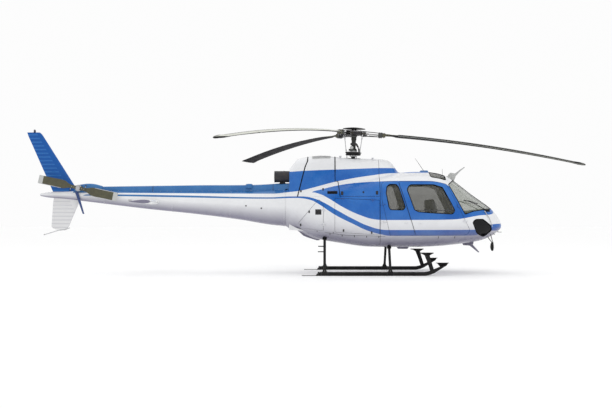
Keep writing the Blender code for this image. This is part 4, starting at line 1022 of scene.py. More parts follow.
def make_doors():
    front = rings(FRONT_WINDOW, WINDOW_CORNER)
    rear = rings(REAR_WINDOW, 0.060)
    for word, outline, window, loops, bar in (
        ("front", FRONT_DOOR, FRONT_WINDOW, front, SLIDING_BAR),
        ("rear", REAR_DOOR, REAR_WINDOW, rear, None),
    ):
        outer = hull_sheet([hull_loop(outline, DOOR_CORNER), loops[0]], 0.0, 0.0095)
        trim = hull_sheet([hull_loop(outline, 0.03, -0.030), hull_loop(window, 0.07, 0.006)], 0.0096, 0.044, 0.004)
        for hand, side in (("right", -1), ("left", 1)):
            body = hand + "_" + word + "_door"
            piece = Piece(body + "_panel", body, "cabin_paint")
            piece.add(outer.at(side), LIVERY)
            piece.add(trim.at(side), TRIM)
            piece.done(body)
            pane(body + "_pane", body, body + "_window", loops, SIDE_GLASS, side, bar)


# The body behind the cabin


HOLD_INSIDE = (0.740, 1.580, 0.970, 1.600)
HOLD_BACK = 0.450
REAR_HOLD_BACK = 0.220
BODY_START, BODY_END = -0.4503, 1.6570
EXHAUST_END = -0.3753
GREY_VENT = ((0.222, 1.335), (0.358, 1.335), (0.358, 1.455), (0.222, 1.455))


def rectangle(low_x, high_x, low_z, high_z):
    return ((low_x, low_z), (high_x, low_z), (high_x, high_z), (low_x, high_z))


def hold_lining(outline, back, front):
    """The walls and back of a hold, open to the side of port."""
    walls = flat_sheet([grow(outline, 0.010), outline], "Y", back, front)
    return walls.plus(flat_sheet([grow(outline, 0.010)], "Y", back - 0.010, back - 0.0005))


def latch(x, z, skin=HULL_SKIN, length=0.046, width=0.022):
    """A flush toggle latch with its dark surround, on the port side."""
    plate = rectangle(x - width / 2, x + width / 2, z - length / 2, z + length / 2)
    frame_loop = on_side(skin, grow(plate, 0.006), 0.010)
    return ((hull_sheet([frame_loop], -0.0008, 0.001, 0.0004, skin=skin), BLACK),
            (hull_sheet([on_side(skin, plate, 0.006)], -0.0030, 0.001, 0.0010, skin=skin), DARK_STEEL))


def make_mid_body():
    outline = (
        (BODY_START, -0.5), (BODY_END, -0.5), (BODY_END, DECK - 0.0005), (EXHAUST_END, DECK - 0.0005),
        (EXHAUST_END, FAR), (BODY_START, FAR),
    )
    rim = hull_loop(outline)
    hold_hole = hull_loop(HOLD_DOOR, 0.040, SEAM)
    rear_hole = hull_loop(REAR_HOLD_DOOR, 0.040, SEAM)
    skin = hull_sheet([rim, hold_hole]).plus(hull_sheet([rim, hold_hole, rear_hole]).mirrored())
    piece = Piece("mid_body_skin", "airframe", "cabin_paint")
    piece.add(skin, LIVERY, TRIM)
    deck_x = np.linspace(-0.36, 1.64, 24)
    at_deck = HULL_SKIN.from_side(np.stack([deck_x, np.full(24, DECK)], 1))
    deck_y = HULL_SKIN.place(at_deck)[0][:, 1] - 0.034
    deck = np.vstack([np.stack([deck_x, deck_y], 1), np.stack([deck_x, -deck_y], 1)[::-1]])
    piece.add(flat_sheet([deck], "Z", DECK - 0.025, DECK - 0.004), GREY_PRIMER)
    inside_hold = rectangle(*HOLD_INSIDE)
    jamb = hull_sheet([hull_loop(HOLD_DOOR, 0.04, 0.012), hull_loop(inside_hold, 0.05)], 0.0305, 0.046, 0.002)
    lining = hold_lining(filleted(inside_hold, 0.05), HOLD_BACK, 0.760)
    for side in (1, -1):
        piece.add(jamb.at(side), DARK_TRIM)
        piece.add(lining.at(side), TRIM)
    inner = grow(REAR_HOLD_DOOR, -0.055)
    jamb = hull_sheet([hull_loop(REAR_HOLD_DOOR, 0.04, 0.012), hull_loop(inner, 0.04)], 0.0305, 0.046, 0.002)
    piece.add(jamb.mirrored(), DARK_TRIM)
    piece.add(hold_lining(filleted(inner, 0.04), REAR_HOLD_BACK, 0.470).mirrored(), TRIM)
    piece.done("mid_body")


def hold_door(name, outline, side, latches):
    piece = Piece(name + "_panel", name, "cabin_paint")
    piece.add(hull_sheet([hull_loop(outline, 0.035)], 0.0, 0.0095).at(side), LIVERY)
    piece.add(hull_sheet([hull_loop(outline, 0.03, -0.028)], 0.0096, 0.028, 0.004).at(side), TRIM)
    for x, z in latches:
        for part, material in latch(x, z):
            piece.add(part.at(side), material)
    if name == "rear_hold_door":
        piece.add(hull_sheet([hull_loop(GREY_VENT, 0.008)], -0.0012, 0.001, 0.0006).at(side), DARK_STEEL)
        slot = rectangle(0.236, 0.344, 1.390, 1.398)
        piece.add(hull_sheet([hull_loop(slot, 0.003)], -0.0016, 0.001, 0.0004).at(side), RUBBER)
    return piece.done(name)


def make_hold_doors():
    hold_door("right_hold_door", HOLD_DOOR, -1, ((0.850, 0.985), (1.470, 0.940)))
    hold_door("left_hold_door", HOLD_DOOR, 1, ((0.850, 0.985), (1.470, 0.940)))
    hold_door("rear_hold_door", REAR_HOLD_DOOR, -1, ((-0.110, 1.105), (0.085, 1.400)))


# The cowls


SPINE = 0.200
EXHAUST_HEIGHT = 2.205
PIPE_RADIUS = 0.130
PIPE_START, PIPE_END = -0.724, -0.062
ENGINE_SEAM = ((-0.182, DECK), (-0.100, 2.070), (-0.012, 2.420), (0.046, 2.560), (0.044, 2.660), (0.044, FAR))
GEARBOX_SEAM = ((0.665, 2.088), (0.664, 2.300), (0.664, FAR))
LOWER_SEAM = ((0.729, 2.084), (0.775, DECK + 0.002))
SIDE_VENT = rectangle(0.490, 0.716, 1.797, 1.868)


def cowl_loop(outline, radius=0.0, within=None):
    return on_side(COWL_SKIN, outline, radius, within=within)


def cowl_sheet(loops, out=0.0, inn=0.022, edge=0.0015, grid=0.04):
    return hull_sheet(loops, out, inn, edge, grid, COWL_SKIN)


def plan_loop(outline, skin=COWL_SKIN):
    return traced(outline, skin.from_above, skin.place)


def bead(path, width, proud=0.0035):
    """A black rubber bead over a seam of the cowls, across both sides."""
    return cowl_sheet([cowl_loop(ribbon(path, width))], -proud, 0.003, 0.0018, 9.0).both()


def make_engine_cowl():
    piece = Piece("engine_cowl_skin", "airframe", "cabin_paint")
    vent = cowl_loop(SIDE_VENT, 0.012)
    piece.add(cowl_sheet([cowl_loop(ENGINE_COWL), vent]).both(), LIVERY, TRIM)
    piece.add(bead(GEARBOX_SEAM[1:], 0.024), RUBBER)
    piece.add(bead(((0.735, 2.084),) + GEARBOX_SEAM[:2], 0.016), RUBBER)
    piece.add(bead(LOWER_SEAM, 0.016), RUBBER)
    slats = [rectangle(0.480, 0.726, z, z + 0.009) for z in (1.806, 1.825, 1.844)]
    for side in (1, -1):
        piece.add(cowl_sheet([cowl_loop(grow(SIDE_VENT, 0.004))], 0.020, 0.024, 0.001).at(side), RUBBER)
        for slat in slats:
            piece.add(cowl_sheet([cowl_loop(slat)], 0.006, 0.018, 0.002).at(side), BLACK)
        for x, z in ((-0.105, 1.868), (0.395, 1.905)):
            for part, material in latch(x, z, COWL_SKIN):
                piece.add(part.at(side), material)
    screen = filleted(((0.140, -0.250), (0.570, -0.250), (0.570, 0.250), (0.140, 0.250)), 0.06)
    inner = filleted(((0.158, -0.232), (0.552, -0.232), (0.552, 0.232), (0.158, 0.232)), 0.045)
    piece.add(cowl_sheet([plan_loop(screen), plan_loop(inner)], -0.008, 0.002, 0.003).both(), LIGHT_GREY)
    piece.add(cowl_sheet([plan_loop(inner)], -0.0045, 0.001, 0.0010).both(), TRIM)
    for k in range(13):
        x = 0.172 + 0.0305 * k
        path = [COWL_SKIN.place(COWL_SKIN.from_above(np.array([[x, abs(y)]])))[0][0] * (1, 1 if y > 0 else -1, 1)
                for y in np.linspace(-0.230, 0.230, 9)]
        piece.add(tube([(a, b, c + 0.007) for a, b, c in path], 0.0035, 6), LIGHT_GREY)
    piece.done("engine_cowl")


def make_exhaust():
    piece = Piece("exhaust_fairing_skin", "airframe", "cabin_paint")
    piece.add(cowl_sheet([cowl_loop(EXHAUST_FAIRING)]).both(), LIVERY, TRIM)
    heights = np.linspace(DECK, 2.388, 26)
    edge = COWL_SKIN.place(COWL_SKIN.from_side(np.stack([np.full(26, EXHAUST_END), heights], 1)))[0]
    half = edge[:, 1:] - (0.003, 0.0)
    wall = np.vstack([half, (half * (-1, 1))[::-1]])
    hole = circle((0.0, EXHAUST_HEIGHT), PIPE_RADIUS + 0.008, 36)
    piece.add(flat_sheet([wall, hole], "X", EXHAUST_END + 0.001, EXHAUST_END + 0.008), LIVERY)
    piece.add(bead(ENGINE_SEAM, 0.024), RUBBER)
    piece.done("exhaust_fairing")

    lip = 0.006
    profile = (
        (PIPE_RADIUS - 0.009, 0.0), (PIPE_RADIUS + lip - 0.003, 0.0), (PIPE_RADIUS + lip, 0.003),
        (PIPE_RADIUS + lip, 0.012), (PIPE_RADIUS, 0.017), (PIPE_RADIUS, 0.200), (PIPE_RADIUS + 0.004, 0.203),
        (PIPE_RADIUS + 0.004, 0.228), (PIPE_RADIUS, 0.231), (PIPE_RADIUS, PIPE_END - PIPE_START),
        (PIPE_RADIUS - 0.009, PIPE_END - PIPE_START),
    )
    pipe = turned(profile, 56, ring=True).moved(
        Matrix.Translation((PIPE_START, 0, EXHAUST_HEIGHT)) @ Matrix.Rotation(math.radians(90), 4, "Y")
    )
    piece = Piece("exhaust_pipe_detail", "airframe", "bare_metal")
    piece.add(pipe, HOT_STEEL)
    piece.add(rod((PIPE_END - 0.02, 0, EXHAUST_HEIGHT), (PIPE_END, 0, EXHAUST_HEIGHT), PIPE_RADIUS - 0.009, 40), BLACK)
    for y in (-0.055, 0.055):
        piece.add(box((-0.600, y - 0.012, 2.030), (-0.480, y + 0.012, 2.092), 0.004), BLACK)
    piece.add(box((-0.615, -0.080, 2.046), (-0.465, 0.080, 2.056), 0.003), BLACK)
    piece.done("exhaust_pipe")


def make_gearbox_cowls():
    for word, side in (("right", -1), ("left", 1)):
        body = word + "_gearbox_cowl"
        piece = Piece(body + "_skin", body, "cabin_paint")
        outline = np.array(GEARBOX_COWL) + [(0.0, SEAM if z == DECK else 0.0) for _, z in GEARBOX_COWL]
        loop = cowl_loop(outline)
        x = COWL_SKIN.point(loop[:, 0], loop[:, 1] / ANGLE_SCALE)[:, 0]
        limit = COWL_SKIN.from_above(np.stack([x, np.full(len(x), SPINE + SEAM)], 1))
        loop[:, 1] = np.minimum(loop[:, 1], limit[:, 1])
        keep = np.linalg.norm(np.roll(loop, -1, 0) - loop, axis=1) > 0.001
        piece.add(cowl_sheet([loop[keep]]).at(side), LIVERY, TRIM)
        for x, z, length, width in ((0.820, 1.812, 0.075, 0.040), (1.290, 1.835, 0.030, 0.024), (1.590, 1.822, 0.070, 0.040)):
            for part, material in latch(x, z, COWL_SKIN, length, width):
                piece.add(part.at(side), material)
        piece.done(body)


def make_spine_and_fairing():
    piece = Piece("cowl_spine_skin", "airframe", "cabin_paint")
    outline = ((0.6613, -SPINE), (1.6597, -SPINE), (1.6597, SPINE), (0.6613, SPINE))
    hole = circle((1.085, 0.0), 0.160, 48)
    piece.add(cowl_sheet([plan_loop(outline), plan_loop(hole)]).both(), LIVERY, TRIM)
    collar = cowl_sheet([plan_loop(circle((1.085, 0), 0.172, 48)), plan_loop(circle((1.085, 0), 0.152, 48))],
                        -0.006, 0.004, 0.002)
    piece.add(collar.both(), RUBBER)
    piece.done("cowl_spine")

    piece = Piece("front_fairing_skin", "airframe", "cabin_paint")
    x = np.array([row[0] for row in COWL if row[0] >= 1.6])
    x[0] = CABIN_BACK + 0.0005
    wide = np.interp(x, [row[0] for row in COWL], [row[2] for row in COWL]) + 0.040
    outline = np.vstack([np.stack([x, wide], 1), np.stack([x, -wide], 1)[::-1]])
    piece.add(cowl_sheet([plan_loop(outline)], 0.0, 0.020).both(), LIVERY, TRIM)
    piece.done("front_fairing")


# The tail


BOOM = (
    # x, centre height, radius
    (-6.100, 1.792, 0.030),
    (-6.000, 1.790, 0.050),
    (-5.600, 1.785, 0.085),
    (-5.100, 1.768, 0.126),
    (-4.735, 1.745, 0.148),
    (-3.632, 1.668, 0.205),
    (-2.529, 1.610, 0.262),
    (-1.425, 1.540, 0.335),
    (-0.800, 1.500, 0.400),
    (-0.4506, 1.492, 0.424),
)
SHAFT_COVER = (
    # x, top, half width
    (-4.669, 1.979, 0.075),
    (-2.500, 2.010, 0.085),
    (-0.800, 2.037, 0.100),
    (-0.620, 2.050, 0.120),
    (-0.3765, 2.055, 0.160),
)
TAIL_GEARBOX = (
    (-5.340, 1.925, 0.045),
    (-5.250, 2.000, 0.085),
    (-5.100, 2.037, 0.100),
    (-4.850, 2.037, 0.100),
    (-4.671, 1.990, 0.080),
)
UPPER_FIN = (
    # height, leading x, trailing x, thickness
    (1.800, -5.190, -5.790, 0.110),
    (2.060, -5.356, -5.902, 0.110),
    (3.150, -6.045, -6.385, 0.062),
    (3.200, -6.085, -6.400, 0.056),
    (3.222, -6.118, -6.408, 0.034),
)
LOWER_FIN = (
    (1.770, -5.150, -5.790, 0.080),
    (1.600, -5.218, -5.812, 0.080),
    (1.060, -5.447, -5.850, 0.054),
    (1.015, -5.490, -5.810, 0.046),
    (0.992, -5.580, -5.740, 0.028),
)
STABILIZER = (1.265, 1.625, -3.350, -3.810, 0.090)
TAIL_HUB = Vector((-5.167, -0.290, 1.940))
TAIL_ROTOR_ANGLE = math.radians(12.0)
TAIL_BLADE = (
    # radius, chord, thickness
    (0.050, 0.070, 0.016),
    (0.200, 0.090, 0.016),
    (0.260, 0.130, 0.017),
    (0.300, 0.175, 0.018),
    (0.360, 0.190, 0.018),
    (0.600, 0.190, 0.017),
    (0.860, 0.190, 0.015),
    (0.906, 0.188, 0.013),
    (0.914, 0.180, 0.009),
)


def along_table(table, places, straight=False):
    """Rows of a table at places in its first column, on smooth curves or straight lines."""
    rows = np.array(table, float)
    if rows[0, 0] > rows[-1, 0]:
        rows = rows[::-1]
    if straight:
        return np.stack([np.interp(places, rows[:, 0], column) for column in rows.T], 1)
    return smooth_between(rows[:, 0], rows, np.asarray(places, float))


def foil(lead, trail, thickness, count=14):
    """A rounded nose and a thin tail, as (along, across) pairs round the section."""
    chord = trail - lead
    upper = []
    for k in range(count + 1):
        t = (k / count) ** 1.7
        half = thickness * (1.48 * math.sqrt(t) - 0.63 * t - 1.76 * t ** 2 + 1.42 * t ** 3 - 0.46 * t ** 4)
        upper.append((lead + chord * t, max(half, 0.02 * thickness)))
    return upper + [(along, -across) for along, across in reversed(upper[1:])]


def boom_ring(x, extra=0.0, sides=56):
    _, height, radius = along_table(BOOM, [x])[0]
    return [(x, (radius + extra) * math.cos(2 * math.pi * k / sides),
             height + (radius + extra) * math.sin(2 * math.pi * k / sides)) for k in range(sides)]


def boom_band(x, width, extra=0.0015):
    """A thin collar round the boom."""
    return loft([boom_ring(x - width / 2, -0.002), boom_ring(x - width / 2, extra),
                 boom_ring(x + width / 2, extra), boom_ring(x + width / 2, -0.002)])


def cover_ring(x, top, half, foot, count=22):
    """A rounded hood's section, from its foot up over the top."""
    points = []
    for k in range(count + 1):
        angle = math.pi * k / count
        reach = ((abs(math.cos(angle)) / half) ** 3.5 + (math.sin(angle) / (top - foot)) ** 3.5) ** (-1 / 3.5)
        points.append((x, reach * math.cos(angle), foot + reach * math.sin(angle)))
    return points


def hood(table, foot, spacing):
    places = np.arange(min(row[0] for row in table), max(row[0] for row in table), spacing)
    places = np.append(places, max(row[0] for row in table))
    return loft([cover_ring(*row, foot) for row in along_table(table, places)], 0.0)


def hood_heads(table, spacing, down):
    """Screw heads along both feet of a hood."""
    points, normals = [], []
    for x in np.arange(table[0][0] + 0.05, table[-1][0] - 0.05, spacing):
        _, height, radius = along_table(BOOM, [x])[0]
        _, top, half = along_table(table, [x])[0]
        up = height + math.sqrt(max(radius ** 2 - half ** 2, 0.0001)) + down
        for side in (1, -1):
            points.append((x, side * (half - 0.0005), up))
            normals.append((0, side, 0.05))
    return screw_heads(points, normals, 0.006, 0.002)


def make_boom():
    places = np.concatenate([np.linspace(-6.1, -5.6, 12), np.arange(-5.56, -0.46, 0.07), [-0.4506]])
    piece = Piece("tail_boom_skin", "airframe", "cabin_paint")
    piece.add(loft([boom_ring(x) for x in places]), LIVERY)
    for x in (-4.62, -3.05, -1.72):
        piece.add(boom_band(x, 0.034), LIVERY)
    piece.add(boom_band(-0.485, 0.060, 0.004), LIVERY)
    points, normals = [], []
    for x in (-4.632, -4.608, -3.062, -3.038, -1.732, -1.708, -0.472, -0.500):
        _, height, radius = along_table(BOOM, [x])[0]
        for k in range(int(radius * 150)):
            angle = 2 * math.pi * k / int(radius * 150)
            up = Vector((0, math.cos(angle), math.sin(angle)))
            points.append(Vector((x, 0, height)) + up * (radius + (0.004 if x > -1 else 0.0015)))
            normals.append(up)
    piece.add(screw_heads(points, normals, 0.0045, 0.0014, 6), LIVERY_WHITE)
    for x, z in ((-1.350, 1.535), (-1.000, 1.480)):
        _, height, radius = along_table(BOOM, [x])[0]
        y = -math.sqrt(radius ** 2 - (z - height) ** 2)
        piece.add(rod((x, y + 0.01, z), (x, y - 0.003, z), 0.018, 20, 0.001), DARK_STEEL)
    piece.add(box((-4.19, -0.030, 1.868), (-4.10, -0.020, 1.900), 0.003), DARK_STEEL)
    piece.add(rod((-6.099, 0, 1.792), (-6.085, 0, 1.792), 0.024, 24, 0.003), DARK_STEEL)
    piece.add(ball((-6.092, 0, 1.792), 0.020, 8, 0.9), DARK_LENS)
    piece.done("tail_boom")

    piece = Piece("blade_aerial", "airframe", "blue_paint")
    rings_made = []
    for t in np.linspace(0, 1, 9):
        x, z = -5.240 + 0.160 * t, 1.865 - 0.515 * t
        chord = 0.078 - 0.040 * t
        rings_made.append([(x + along, -0.146 + 0.010 * t + across, z)
                           for along, across in foil(-chord / 2, chord / 2, 0.018 * (1 - 0.4 * t), 8)])
    piece.add(loft(rings_made, 0.0), DEEP_BLUE)
    for x, z in ((-5.226, 1.820), (-5.190, 1.705)):
        piece.add(box((x - 0.018, -0.150, z - 0.010), (x + 0.018, -0.085, z + 0.010), 0.004), DEEP_BLUE)
    piece.done()


def make_covers():
    piece = Piece("shaft_cover_skin", "airframe", "blue_paint")
    piece.add(hood(SHAFT_COVER, 1.700, 0.05), LIVERY_BLUE)
    for x in (-3.508, -0.751):
        row = along_table(SHAFT_COVER, [x])[0]
        band = [cover_ring(x + shift, row[1] + rise, row[2] + rise, 1.70)
                for shift, rise in ((-0.006, -0.002), (-0.005, 0.0010), (0.005, 0.0010), (0.006, -0.002))]
        piece.add(loft(band), DARK_STEEL)
    piece.add(hood_heads(SHAFT_COVER, 0.16, 0.014), STEEL)
    for side in (1, -1):
        spot = Vector((-0.440, side * 0.140, 1.888))
        out = Vector((0, side * 0.024, 0))
        piece.add(rod(spot, spot + out, 0.040, 28, 0.002), LIVERY_BLUE)
        piece.add(rod(spot + out * 0.9, spot + out * 1.05, 0.033, 28, 0.001), RUBBER)
    piece.add(rod((-0.392, -0.150, 1.792), (-0.250, -0.340, 1.812), 0.006, 10), STEEL)
    piece.done("shaft_cover")

    piece = Piece("cover_bump", "airframe", "blue_paint")
    piece.add(turned(((0.085, 0.0), (0.084, 0.060), (0.078, 0.082), (0.060, 0.093), (0.0, 0.097)), 36).moved(
        Matrix.Translation((-1.302, -0.045, 1.945))), LIVERY_BLUE)
    piece.done()

    piece = Piece("tail_gearbox_skin", "airframe", "blue_paint")
    piece.add(hood(TAIL_GEARBOX, 1.750, 0.02), LIVERY_BLUE)
    boss = ((0.085, 0.0), (0.085, 0.012), (0.064, 0.026), (0.060, 0.030), (0.060, 0.128), (0.050, 0.1299))
    facing = Matrix.Translation((TAIL_HUB.x, 0.0, TAIL_HUB.z)) @ Matrix.Rotation(math.radians(90), 4, "X")
    piece.add(turned(boss, 40).moved(facing), DARK_STEEL)
    for k in range(8):
        angle = 2 * math.pi * (k + 0.5) / 8
        spot = facing @ Vector((0.073 * math.cos(angle), 0.073 * math.sin(angle), 0.0))
        piece.add(rod(spot, spot + Vector((0, -0.018, 0)), 0.006, 6, 0.001), STEEL)
    piece.add(hood_heads(TAIL_GEARBOX, 0.11, 0.014), STEEL)
    piece.done("tail_gearbox")


def ribbed_fin(table, rib_gap, rib_rise, first, last):
    """A fin whose rear two thirds are pressed with ribs along the chord."""
    low, high = min(row[0] for row in table), max(row[0] for row in table)
    heights = np.unique(np.concatenate([np.arange(low, high, rib_gap / 8), [row[0] for row in table]]))
    made = []
    for height, lead, trail, thickness in along_table(table, heights, True):
        wave = 0.5 - 0.5 * math.cos(2 * math.pi * height / rib_gap)
        wave = wave ** 3 if first < height < last else 0.0
        ring = []
        for along, across in foil(lead, trail, thickness, 20):
            t = (along - lead) / (trail - lead)
            swell = max(0.0, min(1.0, (t - 0.30) / 0.05)) * max(0.0, min(1.0, (0.97 - t) / 0.05))
            ring.append((along, across + math.copysign(rib_rise * wave * swell, across), height))
        made.append(ring)
    return loft(made)


def make_fins():
    piece = Piece("upper_fin_skin", "airframe", "blue_paint")
    piece.add(ribbed_fin(UPPER_FIN, RIB_GAP, 0.012, 2.10, 3.14), FIN_BLUE)
    piece.add(turned(((0.030, 0.0), (0.030, 0.006), (0.027, 0.008)), 28).moved(
        Matrix.Translation((-6.235, 0, 3.218))), DARK_STEEL)
    piece.add(turned(((0.025, 0.0), (0.026, 0.030), (0.022, 0.052), (0.012, 0.063), (0.0, 0.066)), 28).moved(
        Matrix.Translation((-6.235, 0, 3.225))), DARK_LENS)
    piece.done("upper_fin")

    piece = Piece("lower_fin_skin", "airframe", "cabin_paint")
    piece.add(ribbed_fin(LOWER_FIN, RIB_GAP, 0.010, 1.03, 1.62), FIN_WHITE)
    piece.done("lower_fin")

    half, height, lead, trail, thickness = STABILIZER
    piece = Piece("stabilizer_skin", "airframe", "cabin_paint")
    stops = [(-half, 0.35), (-half + 0.006, 0.8), (-half + 0.020, 1.0), (half - 0.020, 1.0),
             (half - 0.006, 0.8), (half, 0.35)]
    section = foil(lead, trail, thickness, 22)
    piece.add(loft([[(along, y, height + across * share) for along, across in section] for y, share in stops]),
              LIVERY_WHITE)
    for side in (1, -1):
        for y in (0.26, 0.60, 0.94):
            band = [[(along, side * (y + shift), height + across * swell) for along, across in section]
                    for shift, swell in ((-0.011, 0.98), (-0.010, 1.02), (0.010, 1.02), (0.011, 0.98))]
            piece.add(loft(band), LIVERY_WHITE)
        cuff = [[(along + (0.012 if along > -3.5 else -0.012), side * y, height + across * swell)
                 for along, across in section] for y, swell in ((0.150, 1.35), (0.235, 1.30), (0.240, 1.0))]
        piece.add(loft(cuff, 0.0), LIVERY_WHITE)
        tip = [[(along, side * (half + shift), height + across * swell) for along, across in section]
               for shift, swell in ((-0.010, 0.90), (-0.001, 0.86), (0.002, 0.60))]
        # The tip rib in painted shade
        piece.add(loft(tip), BELLY_SHADE_PAINT)
        piece.add(box((-3.830, side * 1.225 - 0.010, 1.632), (-3.760, side * 1.225 + 0.010, 1.668), 0.004), STEEL)
    piece.done("stabilizer")

    path = bent(((-5.430, 0, 1.030), (-5.540, 0, 0.985), (-5.680, 0, 0.975), (-6.020, 0, 0.871)), 0.08)
    piece = Piece("tail_guard_rod", "airframe", "bare_metal")
    piece.add(tube(path, 0.012, 16), ALUMINIUM)
    piece.add(ball((-6.016, 0, 0.8722), 0.0125, 8), RUBBER)
    piece.done("tail_guard")


def make_tail_rotor():
    x, y, z = TAIL_HUB
    piece = Piece("tail_rotor_hub_detail", "tail_rotor", "bare_metal")
    piece.add(rod((x, -0.1303, z), (x, y + 0.0126, z), 0.033, 32, 0.002), STEEL)
    piece.add(rod((x, y + 0.046, z), (x, y + 0.0126, z), 0.074, 40, 0.004), STEEL)
    piece.add(rod((x, -0.150, z), (x, -0.172, z), 0.055, 32, 0.003), DARK_STEEL)
    for k in range(2):
        across = Vector((math.cos(math.pi * k + 1.2), 0, math.sin(math.pi * k + 1.2))) * 0.052
        link = Vector((x, -0.165, z)) + across
        piece.add(rod(link, Vector((x, y + 0.040, z)) + across * 1.15, 0.006, 12), STEEL)
    piece.done("tail_rotor_hub")

    turn = Matrix.Translation(TAIL_HUB) @ Matrix.Rotation(TAIL_ROTOR_ANGLE, 4, "Y")
    piece = Piece("tail_rotor_blades_detail", "tail_rotor", "rotor_composite")
    plate = turned(((0.044, -0.012), (0.048, -0.008), (0.048, 0.026), (0.040, 0.030), (0.018, 0.032), (0.0, 0.034)), 40)
    piece.add(plate.moved(turn @ Matrix.Rotation(math.radians(90), 4, "X")), STEEL)
    for half_turn in (0.0, math.pi):
        spin = turn @ Matrix.Rotation(half_turn, 4, "Y")
        radii = np.concatenate([np.linspace(0.05, 0.88, 26), [0.900, 0.908, 0.914]])
        made, tip, edge = [], [], []
        for radius, chord, thickness in along_table(TAIL_BLADE, radii):
            section = [(radius, across, along) for along, across in foil(chord * 0.42, -chord * 0.58, thickness, 12)]
            made.append(section)
            if radius > 0.80:
                tip.append([(a, b * 1.08, c * 1.004) for a, b, c in section])
            if radius > 0.36:
                nose = [(radius, across * 1.10, along + 0.0006)
                        for along, across in foil(chord * 0.42, chord * 0.42 - 0.022, thickness * 0.70, 5)]
                edge.append(nose)
        piece.add(loft(made).moved(spin), OLIVE)
        piece.add(loft(tip).moved(spin), LIGHT_GREY)
        piece.add(loft(edge).moved(spin), STEEL)
        piece.add(box((0.045, -0.020, -0.034), (0.175, 0.020, 0.034), 0.005).moved(spin), OLIVE)
        piece.add(rod((0.165, 0, 0.030), (0.165, 0, 0.085), 0.007, 12).moved(spin), STEEL)
        piece.add(rod((0.165, 0, 0.070), (0.165, 0, 0.098), 0.017, 20, 0.003).moved(spin), DARK_STEEL)
        for r in (0.090, 0.140):
            piece.add(rod((r, -0.024, 0.0), (r, 0.024, 0.0), 0.008, 6, 0.001).moved(spin), STEEL)
    piece.done("tail_rotor_blades")


# The main rotor


MAST_X = 1.105
HUB_HEIGHT = 3.210
MAST_TILT = math.radians(2.0)
ROTOR_RADIUS = 5.345
BLADE_AZIMUTHS = (0.8, 120.8, 240.8)
BLADE_ROOT = 0.720
BLADE_DROOP = 0.530
DROOP_POWER = 1.8
ROOT_PITCH = math.radians(7.0)
TIP_PITCH = math.radians(-3.0)
BLADE = (
    # radius, chord, thickness
    (0.720, 0.100, 0.050),
    (0.800, 0.104, 0.047),
    (0.870, 0.130, 0.044),
    (0.980, 0.300, 0.042),
    (1.100, 0.346, 0.042),
    (1.200, 0.350, 0.042),
    (5.000, 0.350, 0.042),
    (5.330, 0.350, 0.037),
    (5.344, 0.345, 0.030),
)
GEARBOX_TOP = 2.350
SWASH_HEIGHT = 2.735
LINK_LAG = math.radians(-38.0)
HUB = Matrix.Translation((MAST_X, 0.0, HUB_HEIGHT)) @ Matrix.Rotation(MAST_TILT, 4, "Y")
SWASH = SWASH_HEIGHT - HUB_HEIGHT
FOOT = GEARBOX_TOP - HUB_HEIGHT


FACES_UP = 0.80


def droop(radius):
    """How far a blade at rest hangs below the hub's plane."""
    return 0.010 + BLADE_DROOP * (radius / ROTOR_RADIUS) ** DROOP_POWER


def blade_ring(radius, chord, thickness, swell=1.0, part=(0.0, 1.0), rise=0.0, count=16):
    """A blade's section between two shares of its chord, pitched and drooped."""
    pitch = ROOT_PITCH + (TIP_PITCH - ROOT_PITCH) * radius / ROTOR_RADIUS
    ring = []
    for along, across in foil(-0.25 * chord, 0.75 * chord, thickness * swell, count):
        share = (along + 0.25 * chord) / chord
        along = -0.25 * chord + chord * max(part[0], min(part[1], share))
        ring.append((radius, along * math.cos(pitch) - (across + rise) * math.sin(pitch),
                     -along * math.sin(pitch) + (across + rise) * math.cos(pitch) - droop(radius)))
    return ring


def pale_above(part):
    """The part with its second material on all faces but those that look up."""
    corners = part.points[np.array([face[:3] for face in part.faces])]
    facing = np.cross(corners[:, 1] - corners[:, 0], corners[:, 2] - corners[:, 0])
    up = facing[:, 2] > FACES_UP * np.linalg.norm(facing, axis=1)
    return Part(part.points, part.faces, None, [not here for here in up])


def make_blades():
    radii = np.concatenate([np.linspace(0.72, 1.2, 14), np.arange(1.3, 5.25, 0.13), [5.30, 5.33, 5.344]])
    rows = along_table(BLADE, radii)
    skin = loft([blade_ring(*row) for row in rows])
    for number, azimuth in enumerate(BLADE_AZIMUTHS, 1):
        place = HUB @ Matrix.Rotation(math.radians(azimuth), 4, "Z")
        piece = Piece("blade_%d" % number, "main_rotor", "rotor_composite")
        piece.add(pale_above(skin).moved(place), BLADE_TOP, BLADE_UNDER)
        strip = []
        for row in rows:
            if row[0] > 1.0:
                radius, chord, thickness = row
                strip.append(blade_ring(radius, chord, thickness, 1.05, (0.004, 0.055), 0.0, 10))
        piece.add(pale_above(loft(strip)).moved(place), BLADE_TOP, EDGE_STEEL)
        for r, share in ((2.6, 0.985), (4.3, 0.985)):
            pitch = ROOT_PITCH + (TIP_PITCH - ROOT_PITCH) * r / ROTOR_RADIUS
            along = -0.25 * 0.35 + 0.35 * share
            y, z = along * math.cos(pitch), -along * math.sin(pitch) - droop(r)
            piece.add(box((r - 0.05, y - 0.004, z - 0.0015), (r + 0.05, y + 0.016, z + 0.0015), 0.001).moved(place),
                      LIGHT_GREY)
        piece.done("rotor_blade_%d" % number)


